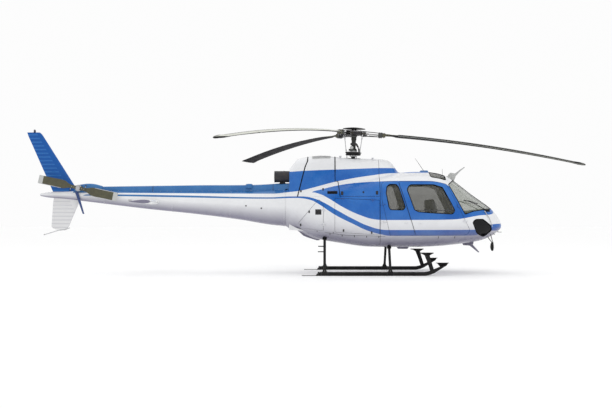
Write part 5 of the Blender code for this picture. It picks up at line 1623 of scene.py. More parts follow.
def make_hub():
    piece = Piece("rotor_hub_detail", "main_rotor", "bare_metal")
    core = ((0.100, -0.060), (0.130, -0.060), (0.185, -0.048), (0.197, -0.036), (0.197, 0.034), (0.185, 0.042),
            (0.120, 0.048), (0.116, 0.050), (0.080, 0.050))
    piece.add(turned(core, 48).moved(HUB), DARK_STEEL)
    piece.add(turned(((0.180, 0.024), (0.200, 0.026), (0.200, 0.033), (0.180, 0.036)), 48, True).moved(HUB), STEEL)
    for k in range(12):
        angle = 2 * math.pi * k / 12
        spot = Vector((0.160 * math.cos(angle), 0.160 * math.sin(angle), 0.038))
        piece.add(rod(spot, spot + Vector((0, 0, 0.020)), 0.009, 6, 0.0015).moved(HUB), STEEL)
    for azimuth in BLADE_AZIMUTHS:
        place = HUB @ Matrix.Rotation(math.radians(azimuth), 4, "Z")
        outline = ((0.08, -0.095), (0.20, -0.062), (0.31, -0.050), (0.34, -0.040), (0.34, 0.040), (0.31, 0.050),
                   (0.20, 0.062), (0.08, 0.095))
        piece.add(prism(outline, "Z", -0.024, -0.004, 0.004).moved(place), STAR_BROWN)
        for x, start, end, thick in ((0.15, 0.040, 0.012, 0.009), (0.15, -0.010, -0.030, 0.008), (0.15, -0.070, -0.078, 0.012)):
            plate = [[(at, across * half, z + rise) for across, rise in ((-1, 0), (1, 0), (1, thick), (-1, thick))]
                     for at, half, z in ((x, 0.045, start), (0.26, 0.060, start + (end - start) * 0.25),
                                         (0.58, 0.050, end), (0.66, 0.050, end))]
            piece.add(loft(plate, 0.0015).moved(place), DARK_STEEL)
        piece.add(box((0.205, -0.050, -0.058), (0.275, 0.050, 0.030), 0.006).moved(place), RUBBER)
        for z in (-0.050, -0.038, -0.026, 0.000, 0.010, 0.020):
            piece.add(box((0.2035, -0.0515, z), (0.2765, 0.0515, z + 0.003), 0.0008).moved(place), DARK_STEEL)
        piece.add(box((0.560, -0.056, -0.082), (0.652, 0.056, 0.016), 0.008).moved(place), CLAMP_GREY)
        piece.add(box((0.654, -0.052, -0.078), (BLADE_ROOT - 0.0005, 0.052, 0.012), 0.008).moved(place), OLIVE)
        piece.add(loft([blade_ring(radius, chord, thickness, 1.12) for radius, chord, thickness in along_table(
            BLADE, np.linspace(BLADE_ROOT - 0.008, 0.835, 7).clip(BLADE_ROOT))][0:1] + [
            blade_ring(radius, chord, thickness, 1.12) for radius, chord, thickness in along_table(
                BLADE, np.linspace(0.722, 0.835, 7))]).moved(place), OLIVE)
        for x in (0.585, 0.630):
            for y in (-0.030, 0.030):
                piece.add(rod((x, y, -0.100), (x, y, 0.032), 0.010, 16, 0.002).moved(place), STEEL)
                piece.add(rod((x, y, -0.096), (x, y, -0.082), 0.017, 6, 0.002).moved(place), DARK_STEEL)
                piece.add(rod((x, y, 0.018), (x, y, 0.028), 0.017, 20, 0.002).moved(place), DARK_STEEL)
        for y in (-0.026, 0.026):
            piece.add(rod((0.688, y, -0.094), (0.688, y, 0.024), 0.011, 16, 0.002).moved(place), STEEL)
        for x, y in ((0.225, -0.045), (0.225, 0.045), (0.258, -0.045), (0.258, 0.045)):
            piece.add(rod((x, y, -0.080), (x, y, 0.050), 0.008, 6, 0.001).moved(place), STEEL)
        horn = ((0.290, -0.040, -0.058), (0.265, -0.090, -0.066), (0.235 * math.cos(LINK_LAG),
                0.235 * math.sin(LINK_LAG), -0.085))
        piece.add(tube(bent(horn, 0.03), [0.022] * 5 + [0.017] * 6, 14, 0.75).moved(place), DARK_STEEL)
        end = Vector(horn[2])
        piece.add(rod(end - Vector((0, 0, 0.014)), end + Vector((0, 0, 0.016)), 0.020, 20, 0.003).moved(place), STEEL)
        piece.add(tube(bent(((0.345, 0.052, -0.046), (0.420, 0.074, -0.046), (0.560, 0.056, -0.040)), 0.05),
                       0.006, 10).moved(place), RUBBER)
    piece.done("rotor_hub")

    piece = Piece("hub_cap_dish", "main_rotor", "bare_metal")
    dish = ((0.046, 0.0405), (0.058, 0.0405), (0.060, 0.060), (0.052, 0.080), (0.080, 0.086), (0.200, 0.089),
            (0.258, 0.0905), (0.262, 0.0935), (0.258, 0.0975), (0.205, 0.108), (0.140, 0.117), (0.085, 0.1225),
            (0.030, 0.1235), (0.0, 0.1237))
    piece.add(turned(dish, 64).moved(HUB), DARK_STEEL)
    for k in range(10):
        angle = 2 * math.pi * k / 10
        spot = Vector((0.075 * math.cos(angle), 0.075 * math.sin(angle), 0.119))
        piece.add(rod(spot, spot + Vector((0, 0, 0.007)), 0.0075, 6, 0.001).moved(HUB), STEEL)
    piece.done("hub_cap")


def make_mast():
    piece = Piece("mast_detail", "main_rotor", "bare_metal")
    profile = (
        (0.078, FOOT + 0.0005), (0.082, FOOT + 0.004), (0.082, FOOT + 0.046), (0.074, FOOT + 0.056),
        (0.052, FOOT + 0.080), (0.049, FOOT + 0.090), (0.049, -0.200), (0.052, -0.195), (0.052, -0.170),
        (0.060, -0.160), (0.060, -0.090), (0.075, -0.075), (0.078, -0.0605),
    )
    piece.add(turned(profile, 48).moved(HUB), MAST_GREY)
    for k in range(8):
        angle = 2 * math.pi * k / 8
        spot = Vector((0.066 * math.cos(angle), 0.066 * math.sin(angle), -0.078))
        piece.add(rod(spot, spot + Vector((0, 0, -0.016)), 0.008, 6, 0.001).moved(HUB), STEEL)
    piece.done("mast")

    upper = Piece("swashplate_upper_detail", "main_rotor", "dark_trim")
    ring = ((0.088, SWASH + 0.006), (0.176, SWASH + 0.006), (0.183, SWASH + 0.011), (0.185, SWASH + 0.024),
            (0.178, SWASH + 0.031), (0.150, SWASH + 0.038), (0.105, SWASH + 0.040), (0.090, SWASH + 0.036))
    upper.add(turned(ring, 56, True).moved(HUB), DARK_STEEL)
    lower = Piece("swashplate_lower_detail", "airframe", "dark_trim")
    ring = ((0.088, SWASH - 0.042), (0.148, SWASH - 0.042), (0.168, SWASH - 0.034), (0.171, SWASH - 0.020),
            (0.168, SWASH - 0.001), (0.088, SWASH - 0.001))
    lower.add(turned(ring, 56, True).moved(HUB), BLACK)
    collar = ((0.0765, SWASH - 0.070), (0.084, SWASH - 0.070), (0.084, SWASH + 0.060), (0.0765, SWASH + 0.062))
    upper.add(turned(((0.0535, SWASH + 0.045), (0.078, SWASH + 0.048), (0.082, SWASH + 0.075), (0.070, SWASH + 0.110),
                      (0.0535, SWASH + 0.120)), 40, True).moved(HUB), MAST_GREY)
    lower.add(turned(collar, 40, True).moved(HUB), STEEL)
    for k, azimuth in enumerate(BLADE_AZIMUTHS):
        angle = math.radians(azimuth) + LINK_LAG
        bottom = Vector((0.178 * math.cos(angle), 0.178 * math.sin(angle), SWASH + 0.018))
        top = Vector((0.235 * math.cos(angle), 0.235 * math.sin(angle), -0.085))
        along = (top - bottom).normalized()
        upper.add(rod(bottom, top - along * 0.020, 0.0085, 16).moved(HUB), STEEL)
        upper.add(rod(bottom + along * 0.030, bottom + along * 0.070, 0.0125, 6, 0.001).moved(HUB), STEEL)
        upper.add(rod(top - along * 0.075, top - along * 0.035, 0.0125, 6, 0.001).moved(HUB), STEEL)
        upper.add(ball(bottom, 0.021, 10).moved(HUB), STEEL)
        out = Vector((math.cos(angle), math.sin(angle), 0))
        upper.add(box((0.150, -0.022, SWASH + 0.004), (0.196, 0.022, SWASH + 0.030), 0.005).moved(
            HUB @ Matrix.Rotation(angle, 4, "Z")), DARK_STEEL)
        leg = math.radians(60.0 + 120.0 * k)
        foot = Vector((0.115 * math.cos(leg), 0.115 * math.sin(leg), FOOT + 0.001))
        head = Vector((0.150 * math.cos(leg), 0.150 * math.sin(leg), SWASH - 0.030))
        middle = foot.lerp(head, 0.45)
        lower.add(rod(foot, middle, 0.018, 20, 0.003).moved(HUB), ALUMINIUM)
        lower.add(rod(middle, head, 0.008, 14).moved(HUB), STEEL)
        lower.add(ball(head, 0.017, 10).moved(HUB), STEEL)
        lower.add(box((0.130, -0.020, SWASH - 0.040), (0.176, 0.020, SWASH - 0.012), 0.005).moved(
            HUB @ Matrix.Rotation(leg, 4, "Z")), BLACK)
    turn = HUB @ Matrix.Rotation(math.radians(-25.0), 4, "Z")
    knee = Vector((0.125, 0.0, SWASH + 0.130))
    upper.add(tube((Vector((0.150, 0, SWASH + 0.036)), knee), [0.026, 0.018], 12, 0.5).moved(turn), DARK_STEEL)
    upper.add(tube((knee, Vector((0.068, 0, SWASH + 0.215))), [0.018, 0.026], 12, 0.5).moved(turn), DARK_STEEL)
    upper.add(rod(knee - Vector((0, 0.030, 0)), knee + Vector((0, 0.030, 0)), 0.013, 16, 0.002).moved(turn), STEEL)
    upper.add(ball((-0.045, -0.075, SWASH + 0.130), 0.040, 12, 1.1).moved(HUB), LIGHT_GREY)
    upper.add(box((-0.110, -0.085, SWASH + 0.060), (-0.030, -0.040, SWASH + 0.100), 0.008).moved(HUB), BLACK)
    upper.add(turned(((0.0535, SWASH + 0.195), (0.074, SWASH + 0.195), (0.074, SWASH + 0.240),
                      (0.0535, SWASH + 0.245)), 40, True).moved(HUB), DARK_STEEL)
    upper.done("swashplate_upper")
    lower.done("swashplate_lower")


# Skid gear


SKID_Y = 1.085
SKID_RADIUS = 0.0425
SKID_BACK, SKID_BEND, SKID_TIP = 0.227, 2.700, (3.150, 0.265)
TIP_TOP = 0.278
LEG_RADIUS = 0.027
LEG_BEND = 0.110
# The cross tubes' x, height in the body and half width before they bend down
FRONT_LEG = (1.870, 0.640, 0.600)
REAR_LEG = (0.430, 0.850, 0.520)


def leg_path(x, top, reach):
    half = [(x, reach, top), (x, SKID_Y - 0.010, 2 * SKID_RADIUS + 0.010)]
    return bent([(x, -y, z) for x, y, z in reversed(half)] + half, LEG_BEND, 12)


def make_gear():
    for word, leg in (("front", FRONT_LEG), ("rear", REAR_LEG)):
        x, top, reach = leg
        piece = Piece(word + "_cross_tube_skin", "airframe", "gear_paint")
        path = leg_path(*leg)
        piece.add(tube(path, LEG_RADIUS + 0.002, 28), BLACK)
        for side in (1, -1):
            low = Vector((x, side * (SKID_Y - 0.010), 0.095))
            up = (Vector((x, side * reach, top)) - low).normalized()
            for t, grow_by, length in ((0.050, 0.0035, 0.040), (0.120, 0.0025, 0.012), (0.450, 0.0020, 0.010)):
                piece.add(rod(low + up * t, low + up * (t + length), LEG_RADIUS + grow_by, 28, 0.002), BLACK)
            if word == "rear" and side < 0:
                for k, reach_back in ((0.520, 0.150), (0.665, 0.145)):
                    spot = low + up * k
                    piece.add(rod(spot, spot + Vector((-reach_back, 0, 0)), 0.011, 14, 0.003), BLACK)
                    piece.add(rod(spot + up * -0.016, spot + up * 0.016, LEG_RADIUS + 0.004, 24, 0.002), BLACK)
            entry = low.lerp(Vector((x, side * reach, top)), 0.93)
            piece.add(rod(entry - up * 0.016, entry + up * 0.030, LEG_RADIUS + 0.022, 28, 0.006), RUBBER)
        piece.done(word + "_cross_tube")

    for word, side in (("right", -1), ("left", 1)):
        y = side * SKID_Y
        piece = Piece(word + "_skid_detail", "airframe", "gear_paint")
        line = ((SKID_BACK, y, SKID_RADIUS), (SKID_BEND, y, SKID_RADIUS), (SKID_TIP[0], y, SKID_TIP[1]))
        path = bent(line, 0.50, 14)
        skid = tube([Vector((SKID_BACK + 0.002, y, SKID_RADIUS)), Vector((SKID_BACK + 0.080, y, SKID_RADIUS))] + path[1:],
                    SKID_RADIUS, 36)
        rear_end = skid.points[:, 0] < SKID_BACK + 0.01
        skid.points[rear_end, 0] += 0.070 * skid.points[rear_end, 2] / (2 * SKID_RADIUS)
        tip_end = np.arange(len(skid.points)) >= len(skid.points) - 36
        skid.points[tip_end, 0] += 0.9 * (skid.points[tip_end, 2] - skid.points[tip_end, 2].max())
        skid.points[:, 2] = np.minimum(skid.points[:, 2], TIP_TOP)
        piece.add(skid, BLACK)
        for x, top, reach in (FRONT_LEG, REAR_LEG):
            saddle = [[(x + a * w, y + b * t, z) for a, b in filleted(((-1, -1), (1, -1), (1, 1), (-1, 1)), 0.25, 4)]
                      for z, w, t in ((0.058, 0.088, 0.040), (0.066, 0.086, 0.041), (0.092, 0.052, 0.040),
                                      (0.125, 0.038, 0.038), (0.140, 0.036, 0.036))]
            piece.add(loft(saddle), BLACK)
            for shift in (-0.072, 0.072):
                piece.add(turned(((0.0455, -0.008), (0.0455, 0.008), (0.0425, 0.008), (0.0425, -0.008)), 36, True).moved(
                    Matrix.Translation((x + shift, y, SKID_RADIUS + 0.0015)) @ Matrix.Rotation(math.radians(90), 4, "Y")),
                    DARK_STEEL)
                for across in (-0.030, 0.030):
                    piece.add(rod((x + shift * 0.85, y + across, 0.066), (x + shift * 0.85, y + across, 0.086), 0.007, 6,
                                  0.0015), STEEL)
            piece.add(rod((x, y - 0.044, 0.108), (x, y + 0.044, 0.108), 0.0075, 12), STEEL)
        foot = Vector((2.800, y, 0.060))
        head = Vector((2.655, y + side * 0.010, 0.500))
        blade = []
        for t in np.linspace(0.0, 1.0, 12):
            spot = foot.lerp(head, t)
            long = 0.046 + 0.016 * t ** 3
            blade.append([(spot.x + along, spot.y + across, spot.z) for along, across in foil(-long, long, 0.036, 10)])
        piece.add(loft(blade), BLACK)
        gusset = ((2.540, 0.489), (2.800, 0.489), (2.705, 0.435), (2.640, 0.435))
        piece.add(prism(gusset, "Y", y - 0.010 + side * 0.008, y + 0.010 + side * 0.008, 0.003), BLACK)
        step = filleted(((2.500, y - 0.055), (2.810, y - 0.055), (2.810, y + 0.055), (2.500, y + 0.055)), 0.022)
        piece.add(prism(step, "Z", 0.489, 0.504, 0.002), BLACK)
        piece.add(flat_sheet([step, filleted(((2.510, y - 0.045), (2.800, y - 0.045), (2.800, y + 0.045),
                                              (2.510, y + 0.045)), 0.014)], "Z", 0.502, 0.508), BLACK)
        for k in range(14):
            bar = 2.520 + 0.0205 * k
            piece.add(box((bar, y - 0.040, 0.503), (bar + 0.008, y + 0.040, 0.5072), 0.001), DARK_STEEL)
        tip = filleted(((2.860, y - 0.040), (3.150, y - 0.040), (3.150, y + 0.040), (2.860, y + 0.040)), 0.016)
        piece.add(prism(tip, "Z", 0.277, 0.287, 0.002), BLACK)
        for k in range(11):
            bar = 2.880 + 0.0240 * k
            piece.add(box((bar, y - 0.032, 0.286), (bar + 0.010, y + 0.032, 0.290), 0.001), DARK_STEEL)
        web = ((2.885, 0.278), (3.120, 0.278), (3.060, 0.235), (2.960, 0.195))
        piece.add(prism(web, "Y", y - 0.012, y + 0.012, 0.003), BLACK)
        strip = filleted(((-0.070, y - 0.030), (0.400, y - 0.030), (0.400, y + 0.030), (-0.070, y + 0.030)), 0.010)
        piece.add(prism(strip, "Z", 0.0045, 0.0115, 0.001), DARK_STEEL)
        for x in (0.290, 0.355):
            piece.add(turned(((0.0460, -0.010), (0.0460, 0.010), (0.0425, 0.010), (0.0425, -0.010)), 36, True).moved(
                Matrix.Translation((x, y, SKID_RADIUS + 0.002)) @ Matrix.Rotation(math.radians(90), 4, "Y")), DARK_STEEL)
        for x in np.arange(0.62, 2.60, 0.33):
            if min(abs(x - FRONT_LEG[0]), abs(x - REAR_LEG[0])) > 0.12:
                piece.add(box((x, y - 0.026, 0.0012), (x + 0.20, y + 0.026, 0.0062), 0.002), DARK_STEEL)
        piece.done(word + "_skid")


# The cabin inside


PEDAL_WELL = 3.620
WALL_FRONT = 1.700
SEAT_BACK_LEAN = math.radians(-13.0)
VOXEL = 0.013
SWELL_CAP = 0.016
SEAT_Y = 0.390


def skin_at(x, z, side, depth=0.0, skin=HULL_SKIN):
    """A point a depth inside the skin's side, at a station and a height."""
    points, normals = skin.place(skin.from_side(np.array([[x, z]], float)))
    point = Vector(points[0]) - Vector(normals[0]) * depth
    return Vector((point.x, side * point.y, point.z))


def inner_half(x, z, depth):
    return skin_at(x, z, 1).y - depth


def make_floor_and_walls():
    piece = Piece("cabin_floor", "airframe", "dark_trim")
    places = np.append(np.arange(1.664, PEDAL_WELL, 0.08), PEDAL_WELL)
    half = [inner_half(x, FLOOR_TOP, 0.047) for x in places]
    outline = [(x, y) for x, y in zip(places, half)] + [(x, -y) for x, y in zip(places[::-1], half[::-1])]
    piece.add(flat_sheet([outline], "Z", FLOOR_TOP - 0.020, FLOOR_TOP, 0.002), CARPET)
    low_half = inner_half(PEDAL_WELL, 0.74, 0.050)
    wall = ((-half[-1], FLOOR_TOP - 0.004), (half[-1], FLOOR_TOP - 0.004), (low_half, 0.735), (-low_half, 0.735))
    piece.add(flat_sheet([wall], "X", PEDAL_WELL - 0.012, PEDAL_WELL, 0.001), TRIM)
    for y in (-0.62, -0.15, 0.15, 0.62):
        piece.add(box((2.20, y - 0.014, FLOOR_TOP - 0.001), (3.52, y + 0.014, FLOOR_TOP + 0.006), 0.002), ALUMINIUM)
    piece.done()

    piece = Piece("rear_wall_panel", "airframe", "dark_trim")
    angles = np.linspace(-40, 90, 40)
    points = HULL_SKIN.point(np.full(40, 1.68), np.radians(angles))
    points = [(max(y - 0.048, 0.0), z - 0.048 * max(0.0, math.sin(math.radians(a)))) for (_, y, z), a in zip(points, angles)]
    points = [point for point in points if point[1] > FLOOR_TOP + 0.012]
    loop = [(points[0][0], FLOOR_TOP + 0.0006)] + points
    loop += [(-y, z) for y, z in reversed(loop) if y > 0.001]
    piece.add(flat_sheet([loop], "X", CABIN_BACK + 0.0008, WALL_FRONT, 0.004), TRIM)
    for y in (-0.42, -0.14, 0.14, 0.42):
        piece.add(box((WALL_FRONT - 0.001, y - 0.006, 1.74), (WALL_FRONT + 0.004, y + 0.006, 2.02), 0.001), DARK_TRIM)
    piece.done("rear_wall")

    piece = Piece("door_posts", "airframe", "dark_trim")
    post = ((2.043, 2.100), (2.102, 2.100), (2.4965, 0.870), (2.4425, 0.870))
    loop = hull_loop(post)
    bar = hull_sheet([loop], 0.054, 0.094, 0.008, 9.0)
    for side in (1, -1):
        piece.add(bar.at(side), TRIM)
        for t in (0.30, 0.62):
            x, z = 2.072 + 0.397 * t, 2.10 - 1.23 * t
            spot = skin_at(x, z, side, 0.094)
            piece.add(ball(spot, 0.016, 8, 0.7), STEEL)
            strap = [spot, spot + Vector((-0.03, -side * 0.02, -0.10)), spot + Vector((-0.06, -side * 0.03, -0.34))]
            piece.add(tube(bent(strap, 0.08), 0.012, 8, 0.25), BELT)
    piece.done()


def cushion(name, size, corner, matrix, grooves, groove_depth=0.006):
    """A stuffed pad: a rounded block swelled as cloth under pressure, then its sewn lines pressed in."""
    half = [part / 2 for part in size]
    mesh = bmesh.new()
    bmesh.ops.create_cube(mesh, size=1.0)
    for vert in mesh.verts:
        vert.co = [c * part for c, part in zip(vert.co, size)]
    bmesh.ops.bevel(mesh, geom=mesh.edges[:], offset=corner, segments=3, affect="EDGES", profile=0.6)
    data = bpy.data.meshes.new(name)
    mesh.to_mesh(data)
    mesh.free()
    pad = bpy.data.objects.new(name, data)
    bpy.context.scene.collection.objects.link(pad)
    remesh = pad.modifiers.new("remesh", "REMESH")
    remesh.mode = "VOXEL"
    remesh.voxel_size = VOXEL
    bpy.context.view_layer.update()
    pad.data = bpy.data.meshes.new_from_object(pad.evaluated_get(bpy.context.evaluated_depsgraph_get()))
    pad.modifiers.clear()
    start = np.array([vert.co for vert in pad.data.vertices])
    cloth = pad.modifiers.new("cloth", "CLOTH")
    cloth.settings.use_pressure = True
    cloth.settings.uniform_pressure_force = 4.0
    cloth.settings.effector_weights.gravity = 0.0
    for frame in range(1, 21):
        bpy.context.scene.frame_set(frame)
    result = pad.evaluated_get(bpy.context.evaluated_depsgraph_get()).to_mesh()
    moved = np.array([vert.co for vert in result.vertices]) - start
    pad.modifiers.clear()
    bpy.context.scene.frame_set(1)
    length = np.linalg.norm(moved, axis=1, keepdims=True)
    start = start + moved * np.minimum(1.0, SWELL_CAP / np.maximum(length, 0.00001))
    across = np.clip(np.abs(start / half), 0.0, 1.2)
    crown = np.clip(1 - across[:, 0] ** 3, 0, 1) * np.clip(1 - across[:, 1] ** 3, 0, 1)
    start[:, 2] += np.where(start[:, 2] > 0, 0.012, 0.0) * crown
    for axis, places in grooves:
        for place in places:
            near = np.exp(-((start[:, axis] - place) / 0.007) ** 2)
            start[:, 2] -= np.where(start[:, 2] > 0.2 * half[2], groove_depth, 0.0) * near
    for vert, place in zip(pad.data.vertices, start):
        vert.co = place
    pad.data.transform(matrix)
    pad.data.materials.clear()
    pad.data.materials.append(SEAT_CLOTH)
    pad.data.shade_smooth()
    smooth = pad.modifiers.new("smooth", "SUBSURF")
    smooth.levels = 1
    smooth.render_levels = 1
    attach(pad, "airframe")
    return pad


def copied(pad, name, matrix):
    made = bpy.data.objects.new(name, pad.data.copy())
    bpy.context.scene.collection.objects.link(made)
    made.data.transform(matrix)
    smooth = made.modifiers.new("smooth", "SUBSURF")
    smooth.levels = 1
    smooth.render_levels = 1
    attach(made, "airframe")
    return made


def make_seats():
    base_place = Matrix.Translation((3.115, -SEAT_Y, 1.140)) @ Matrix.Rotation(math.radians(-2.5), 4, "Y")
    back_place = Matrix.Translation((2.900, -SEAT_Y, 1.440)) @ Matrix.Rotation(math.radians(76.0), 4, "Y")
    base = cushion("right_seat_cushion", (0.430, 0.385, 0.075), 0.026, base_place, ((0, (-0.07, 0.07)), (1, (-0.12, 0.12))))
    back = cushion("right_seat_back_cushion", (0.400, 0.375, 0.062), 0.024, back_place,
                   ((0, (-0.09, 0.0, 0.09)), (1, (-0.12, 0.12))))
    shift = Matrix.Translation((0, 2 * SEAT_Y, 0))
    copied(base, "left_seat_cushion", shift)
    copied(back, "left_seat_back_cushion", shift)
    bench_base = Matrix.Translation((2.030, 0, 1.150))
    bench_back = Matrix.Translation((1.840, 0, 1.470)) @ Matrix.Rotation(math.radians(84.0), 4, "Y")
    cushion("bench_cushion", (0.300, 1.180, 0.080), 0.026, bench_base, ((1, (-0.30, 0.0, 0.30)), (0, (0.03,))))
    cushion("bench_back_cushion", (0.420, 1.180, 0.060), 0.024, bench_back, ((1, (-0.30, 0.0, 0.30)), (0, (0.06,))))

    for word, side in (("right", -1), ("left", 1)):
        y = side * SEAT_Y
        piece = Piece(word + "_seat_shell", "airframe", "dark_trim")
        shell = ((2.870, 1.085), (3.340, 1.100), (3.352, 1.128), (2.880, 1.112))
        piece.add(prism(shell, "Y", y - 0.205, y + 0.205, 0.006), DARK_TRIM)
        back_shell = ((2.812, 1.115), (2.846, 1.115), (2.826, 1.655), (2.790, 1.668), (2.776, 1.650))
        piece.add(prism(back_shell, "Y", y - 0.200, y + 0.200, 0.008), DARK_TRIM)
        for x, across in ((2.900, -0.170), (2.900, 0.170), (3.200, -0.170), (3.200, 0.170)):
            piece.add(tube(bent(((x, y + across, FLOOR_TOP + 0.008), (x + 0.02, y + across, 0.97), (x, y + across, 1.092)),
                                0.05), 0.014, 14), GREY_PRIMER)
        for across in (-0.170, 0.170):
            piece.add(rod((2.880, y + across, FLOOR_TOP + 0.018), (3.230, y + across, FLOOR_TOP + 0.018), 0.013, 14), STEEL)
            piece.add(rod((2.895, y + across, 1.040), (3.205, y + across, 0.930), 0.009, 12), GREY_PRIMER)
        for across in (-0.125, 0.125):
            belt = [(2.800, y + across, 1.664), (2.872, y + across * 0.95, 1.668), (2.942, y + across * 0.8, 1.480),
                    (2.990, y + across * 0.55, 1.260), (3.060, y + across * 0.2, 1.215)]
            piece.add(tube(bent(belt, 0.06), 0.020, 8, 0.14), BELT)
        piece.add(box((3.045, y - 0.026, 1.206), (3.100, y + 0.026, 1.2095), 0.003), STEEL)
        piece.done(word + "_front_seat")

    piece = Piece("bench_shell", "airframe", "dark_trim")
    shell = ((1.7025, FLOOR_TOP + 0.001), (2.120, FLOOR_TOP + 0.001), (2.165, 1.108), (1.760, 1.108), (1.760, 1.650),
             (1.725, 1.690), (1.7025, 1.690))
    piece.add(prism(shell, "Y", -0.610, 0.610, 0.006), TRIM)
    for y in (-0.45, -0.15, 0.15, 0.45):
        belt = [(1.735, y, 1.694), (1.795, y, 1.690), (1.868, y, 1.480), (1.900, y, 1.245), (1.960, y * 0.96, 1.2215)]
        piece.add(tube(bent(belt, 0.05), 0.020, 8, 0.14), BELT)
        piece.add(box((1.950, y * 0.96 - 0.026, 1.2115), (2.005, y * 0.96 + 0.026, 1.2165), 0.003), STEEL)
    piece.done("rear_bench")


def make_panel():
    piece = Piece("instrument_panel_detail", "airframe", "dark_trim")
    panel = ((3.580, 1.010), (3.735, 1.005), (3.752, 1.372), (3.646, 1.418), (3.628, 1.400))
    outline = filleted(((-0.178, 1.010), (0.378, 1.010), (0.378, 1.330), (0.320, 1.400), (-0.120, 1.400), (-0.178, 1.330)),
                       0.040)
    lean = 0.135
    rings_made = []
    for depth, inset in ((0.0, 0.004), (0.003, 0.0), (0.085, 0.0), (0.088, 0.004)):
        loop = grow(outline, -inset)
        rings_made.append([(3.582 + depth + (z - 1.01) * lean * 0.9, y, z) for y, z in loop])
    piece.add(loft(rings_made), DARK_TRIM)
    hood_line = ((3.566, 1.408), (3.600, 1.428), (3.700, 1.412), (3.764, 1.360), (3.750, 1.352), (3.690, 1.396),
                 (3.606, 1.412))
    piece.add(prism(hood_line, "Y", -0.175, 0.375, 0.004), RUBBER)
    dials = (
        # across, height, radius
        (-0.115, 1.330, 0.036), (-0.030, 1.330, 0.036), (0.055, 1.330, 0.036), (0.140, 1.330, 0.036), (0.225, 1.330, 0.036),
        (0.305, 1.320, 0.028), (-0.115, 1.240, 0.036), (-0.030, 1.240, 0.036), (0.055, 1.240, 0.036), (0.140, 1.240, 0.036),
        (0.225, 1.240, 0.036), (0.305, 1.245, 0.028), (-0.120, 1.160, 0.026), (-0.055, 1.160, 0.026), (0.010, 1.160, 0.026),
        (0.075, 1.160, 0.026),
    )
    for y, z, radius in dials:
        face = Matrix.Translation((3.5815 + (z - 1.01) * lean * 0.9, y, z)) @ Matrix.Rotation(math.radians(-83), 4, "Y")
        bezel = ((radius + 0.004, -0.001), (radius + 0.004, 0.005), (radius, 0.008), (radius - 0.003, 0.004))
        piece.add(turned(bezel + ((radius - 0.003, -0.001),), 28, True).moved(face), BLACK)
        piece.add(turned(((radius - 0.003, 0.0), (radius - 0.003, 0.0015)), 28).moved(face), DIAL)
        hand = 2.4 * y * 7 + z * 9
        tip = Vector((math.cos(hand), math.sin(hand), 0)) * (radius * 0.75)
        piece.add(tube((face @ Vector((0, 0, 0.0022)), face @ (tip + Vector((0, 0, 0.0022)))), [0.0016, 0.0006], 6), LIGHT_GREY)
        for k in range(10):
            angle = 2 * math.pi * k / 12 - 0.9
            mark = Vector((math.cos(angle), math.sin(angle), 0)) * radius * 0.82
            piece.add(rod(face @ (mark + Vector((0, 0, 0.001))), face @ (mark + Vector((0, 0, 0.0022))), 0.0014, 6),
                      LIGHT_GREY)
    for z in (1.060, 1.100):
        for y in np.arange(-0.13, 0.36, 0.035):
            spot = Vector((3.5815 + (z - 1.01) * lean * 0.9, y, z))
            piece.add(rod(spot, spot + Vector((-0.013, 0, 0.002)), 0.0035, 8, 0.001), STEEL)
    console = ((3.302, FLOOR_TOP + 0.001), (3.600, FLOOR_TOP + 0.001), (3.690, 1.090), (3.570, 1.075), (3.322, 0.978))
    piece.add(prism(console, "Y", -0.108, 0.108, 0.006), DARK_TRIM)
    for k in range(3):
        for j in range(3):
            spot = Vector((3.360 + 0.070 * k, -0.060 + 0.060 * j, 0.9935 + 0.0275 * k))
            piece.add(rod(spot, spot + Vector((-0.004, 0, 0.013)), 0.010, 16, 0.002), BLACK)
    for k in range(2):
        piece.add(box((3.480 + 0.03 * k, -0.080, 1.035 + 0.02 * k), (3.500 + 0.03 * k, 0.080, 1.060 + 0.02 * k), 0.003), TRIM)
    piece.done("instrument_panel")

    piece = Piece("flight_controls", "airframe", "bare_metal")
    for side in (-1, 1):
        y = side * SEAT_Y
        stick = ((3.440, y, FLOOR_TOP), (3.450, y, 1.000), (3.400, y, 1.180), (3.405, y, 1.330))
        piece.add(tube(bent(stick, 0.10), 0.0115, 14), BLACK)
        piece.add(tube(((3.404, y, 1.300), (3.402, y, 1.360), (3.408, y, 1.410)), [0.019, 0.022, 0.018], 16), RUBBER)
        piece.add(turned(((0.055, 0.0), (0.050, 0.012), (0.030, 0.040), (0.016, 0.058)), 28).moved(
            Matrix.Translation((3.440, y, FLOOR_TOP))), RUBBER)
        lever = ((2.940, y - 0.235, 0.905), (3.120, y - 0.235, 1.010), (3.290, y - 0.235, 1.075))
        piece.add(tube(bent(lever, 0.20), 0.013, 14), BLACK)
        piece.add(tube(((3.180, y - 0.235, 1.034), (3.300, y - 0.235, 1.079)), 0.020, 16), RUBBER)
        for shift in (-0.085, 0.085):
            pedal = Matrix.Translation((3.800, y + shift, 0.985)) @ Matrix.Rotation(math.radians(-22), 4, "Y")
            piece.add(box((-0.006, -0.036, -0.050), (0.006, 0.036, 0.060), 0.004).moved(pedal), ALUMINIUM)
            for k in range(4):
                piece.add(box((-0.009, -0.030, -0.036 + 0.024 * k), (-0.005, 0.030, -0.028 + 0.024 * k), 0.001).moved(pedal),
                          RUBBER)
            piece.add(tube(bent(((3.806, y + shift, 0.960), (3.860, y + shift, 0.900), (3.800, y + shift * 0.5, 0.840)),
                                0.04), 0.010, 12), STEEL)
        piece.add(rod((3.800, y - 0.12, 0.840), (3.800, y + 0.12, 0.840), 0.013, 14), STEEL)
    piece.done()


# Hinges, handles, aerials and other fittings


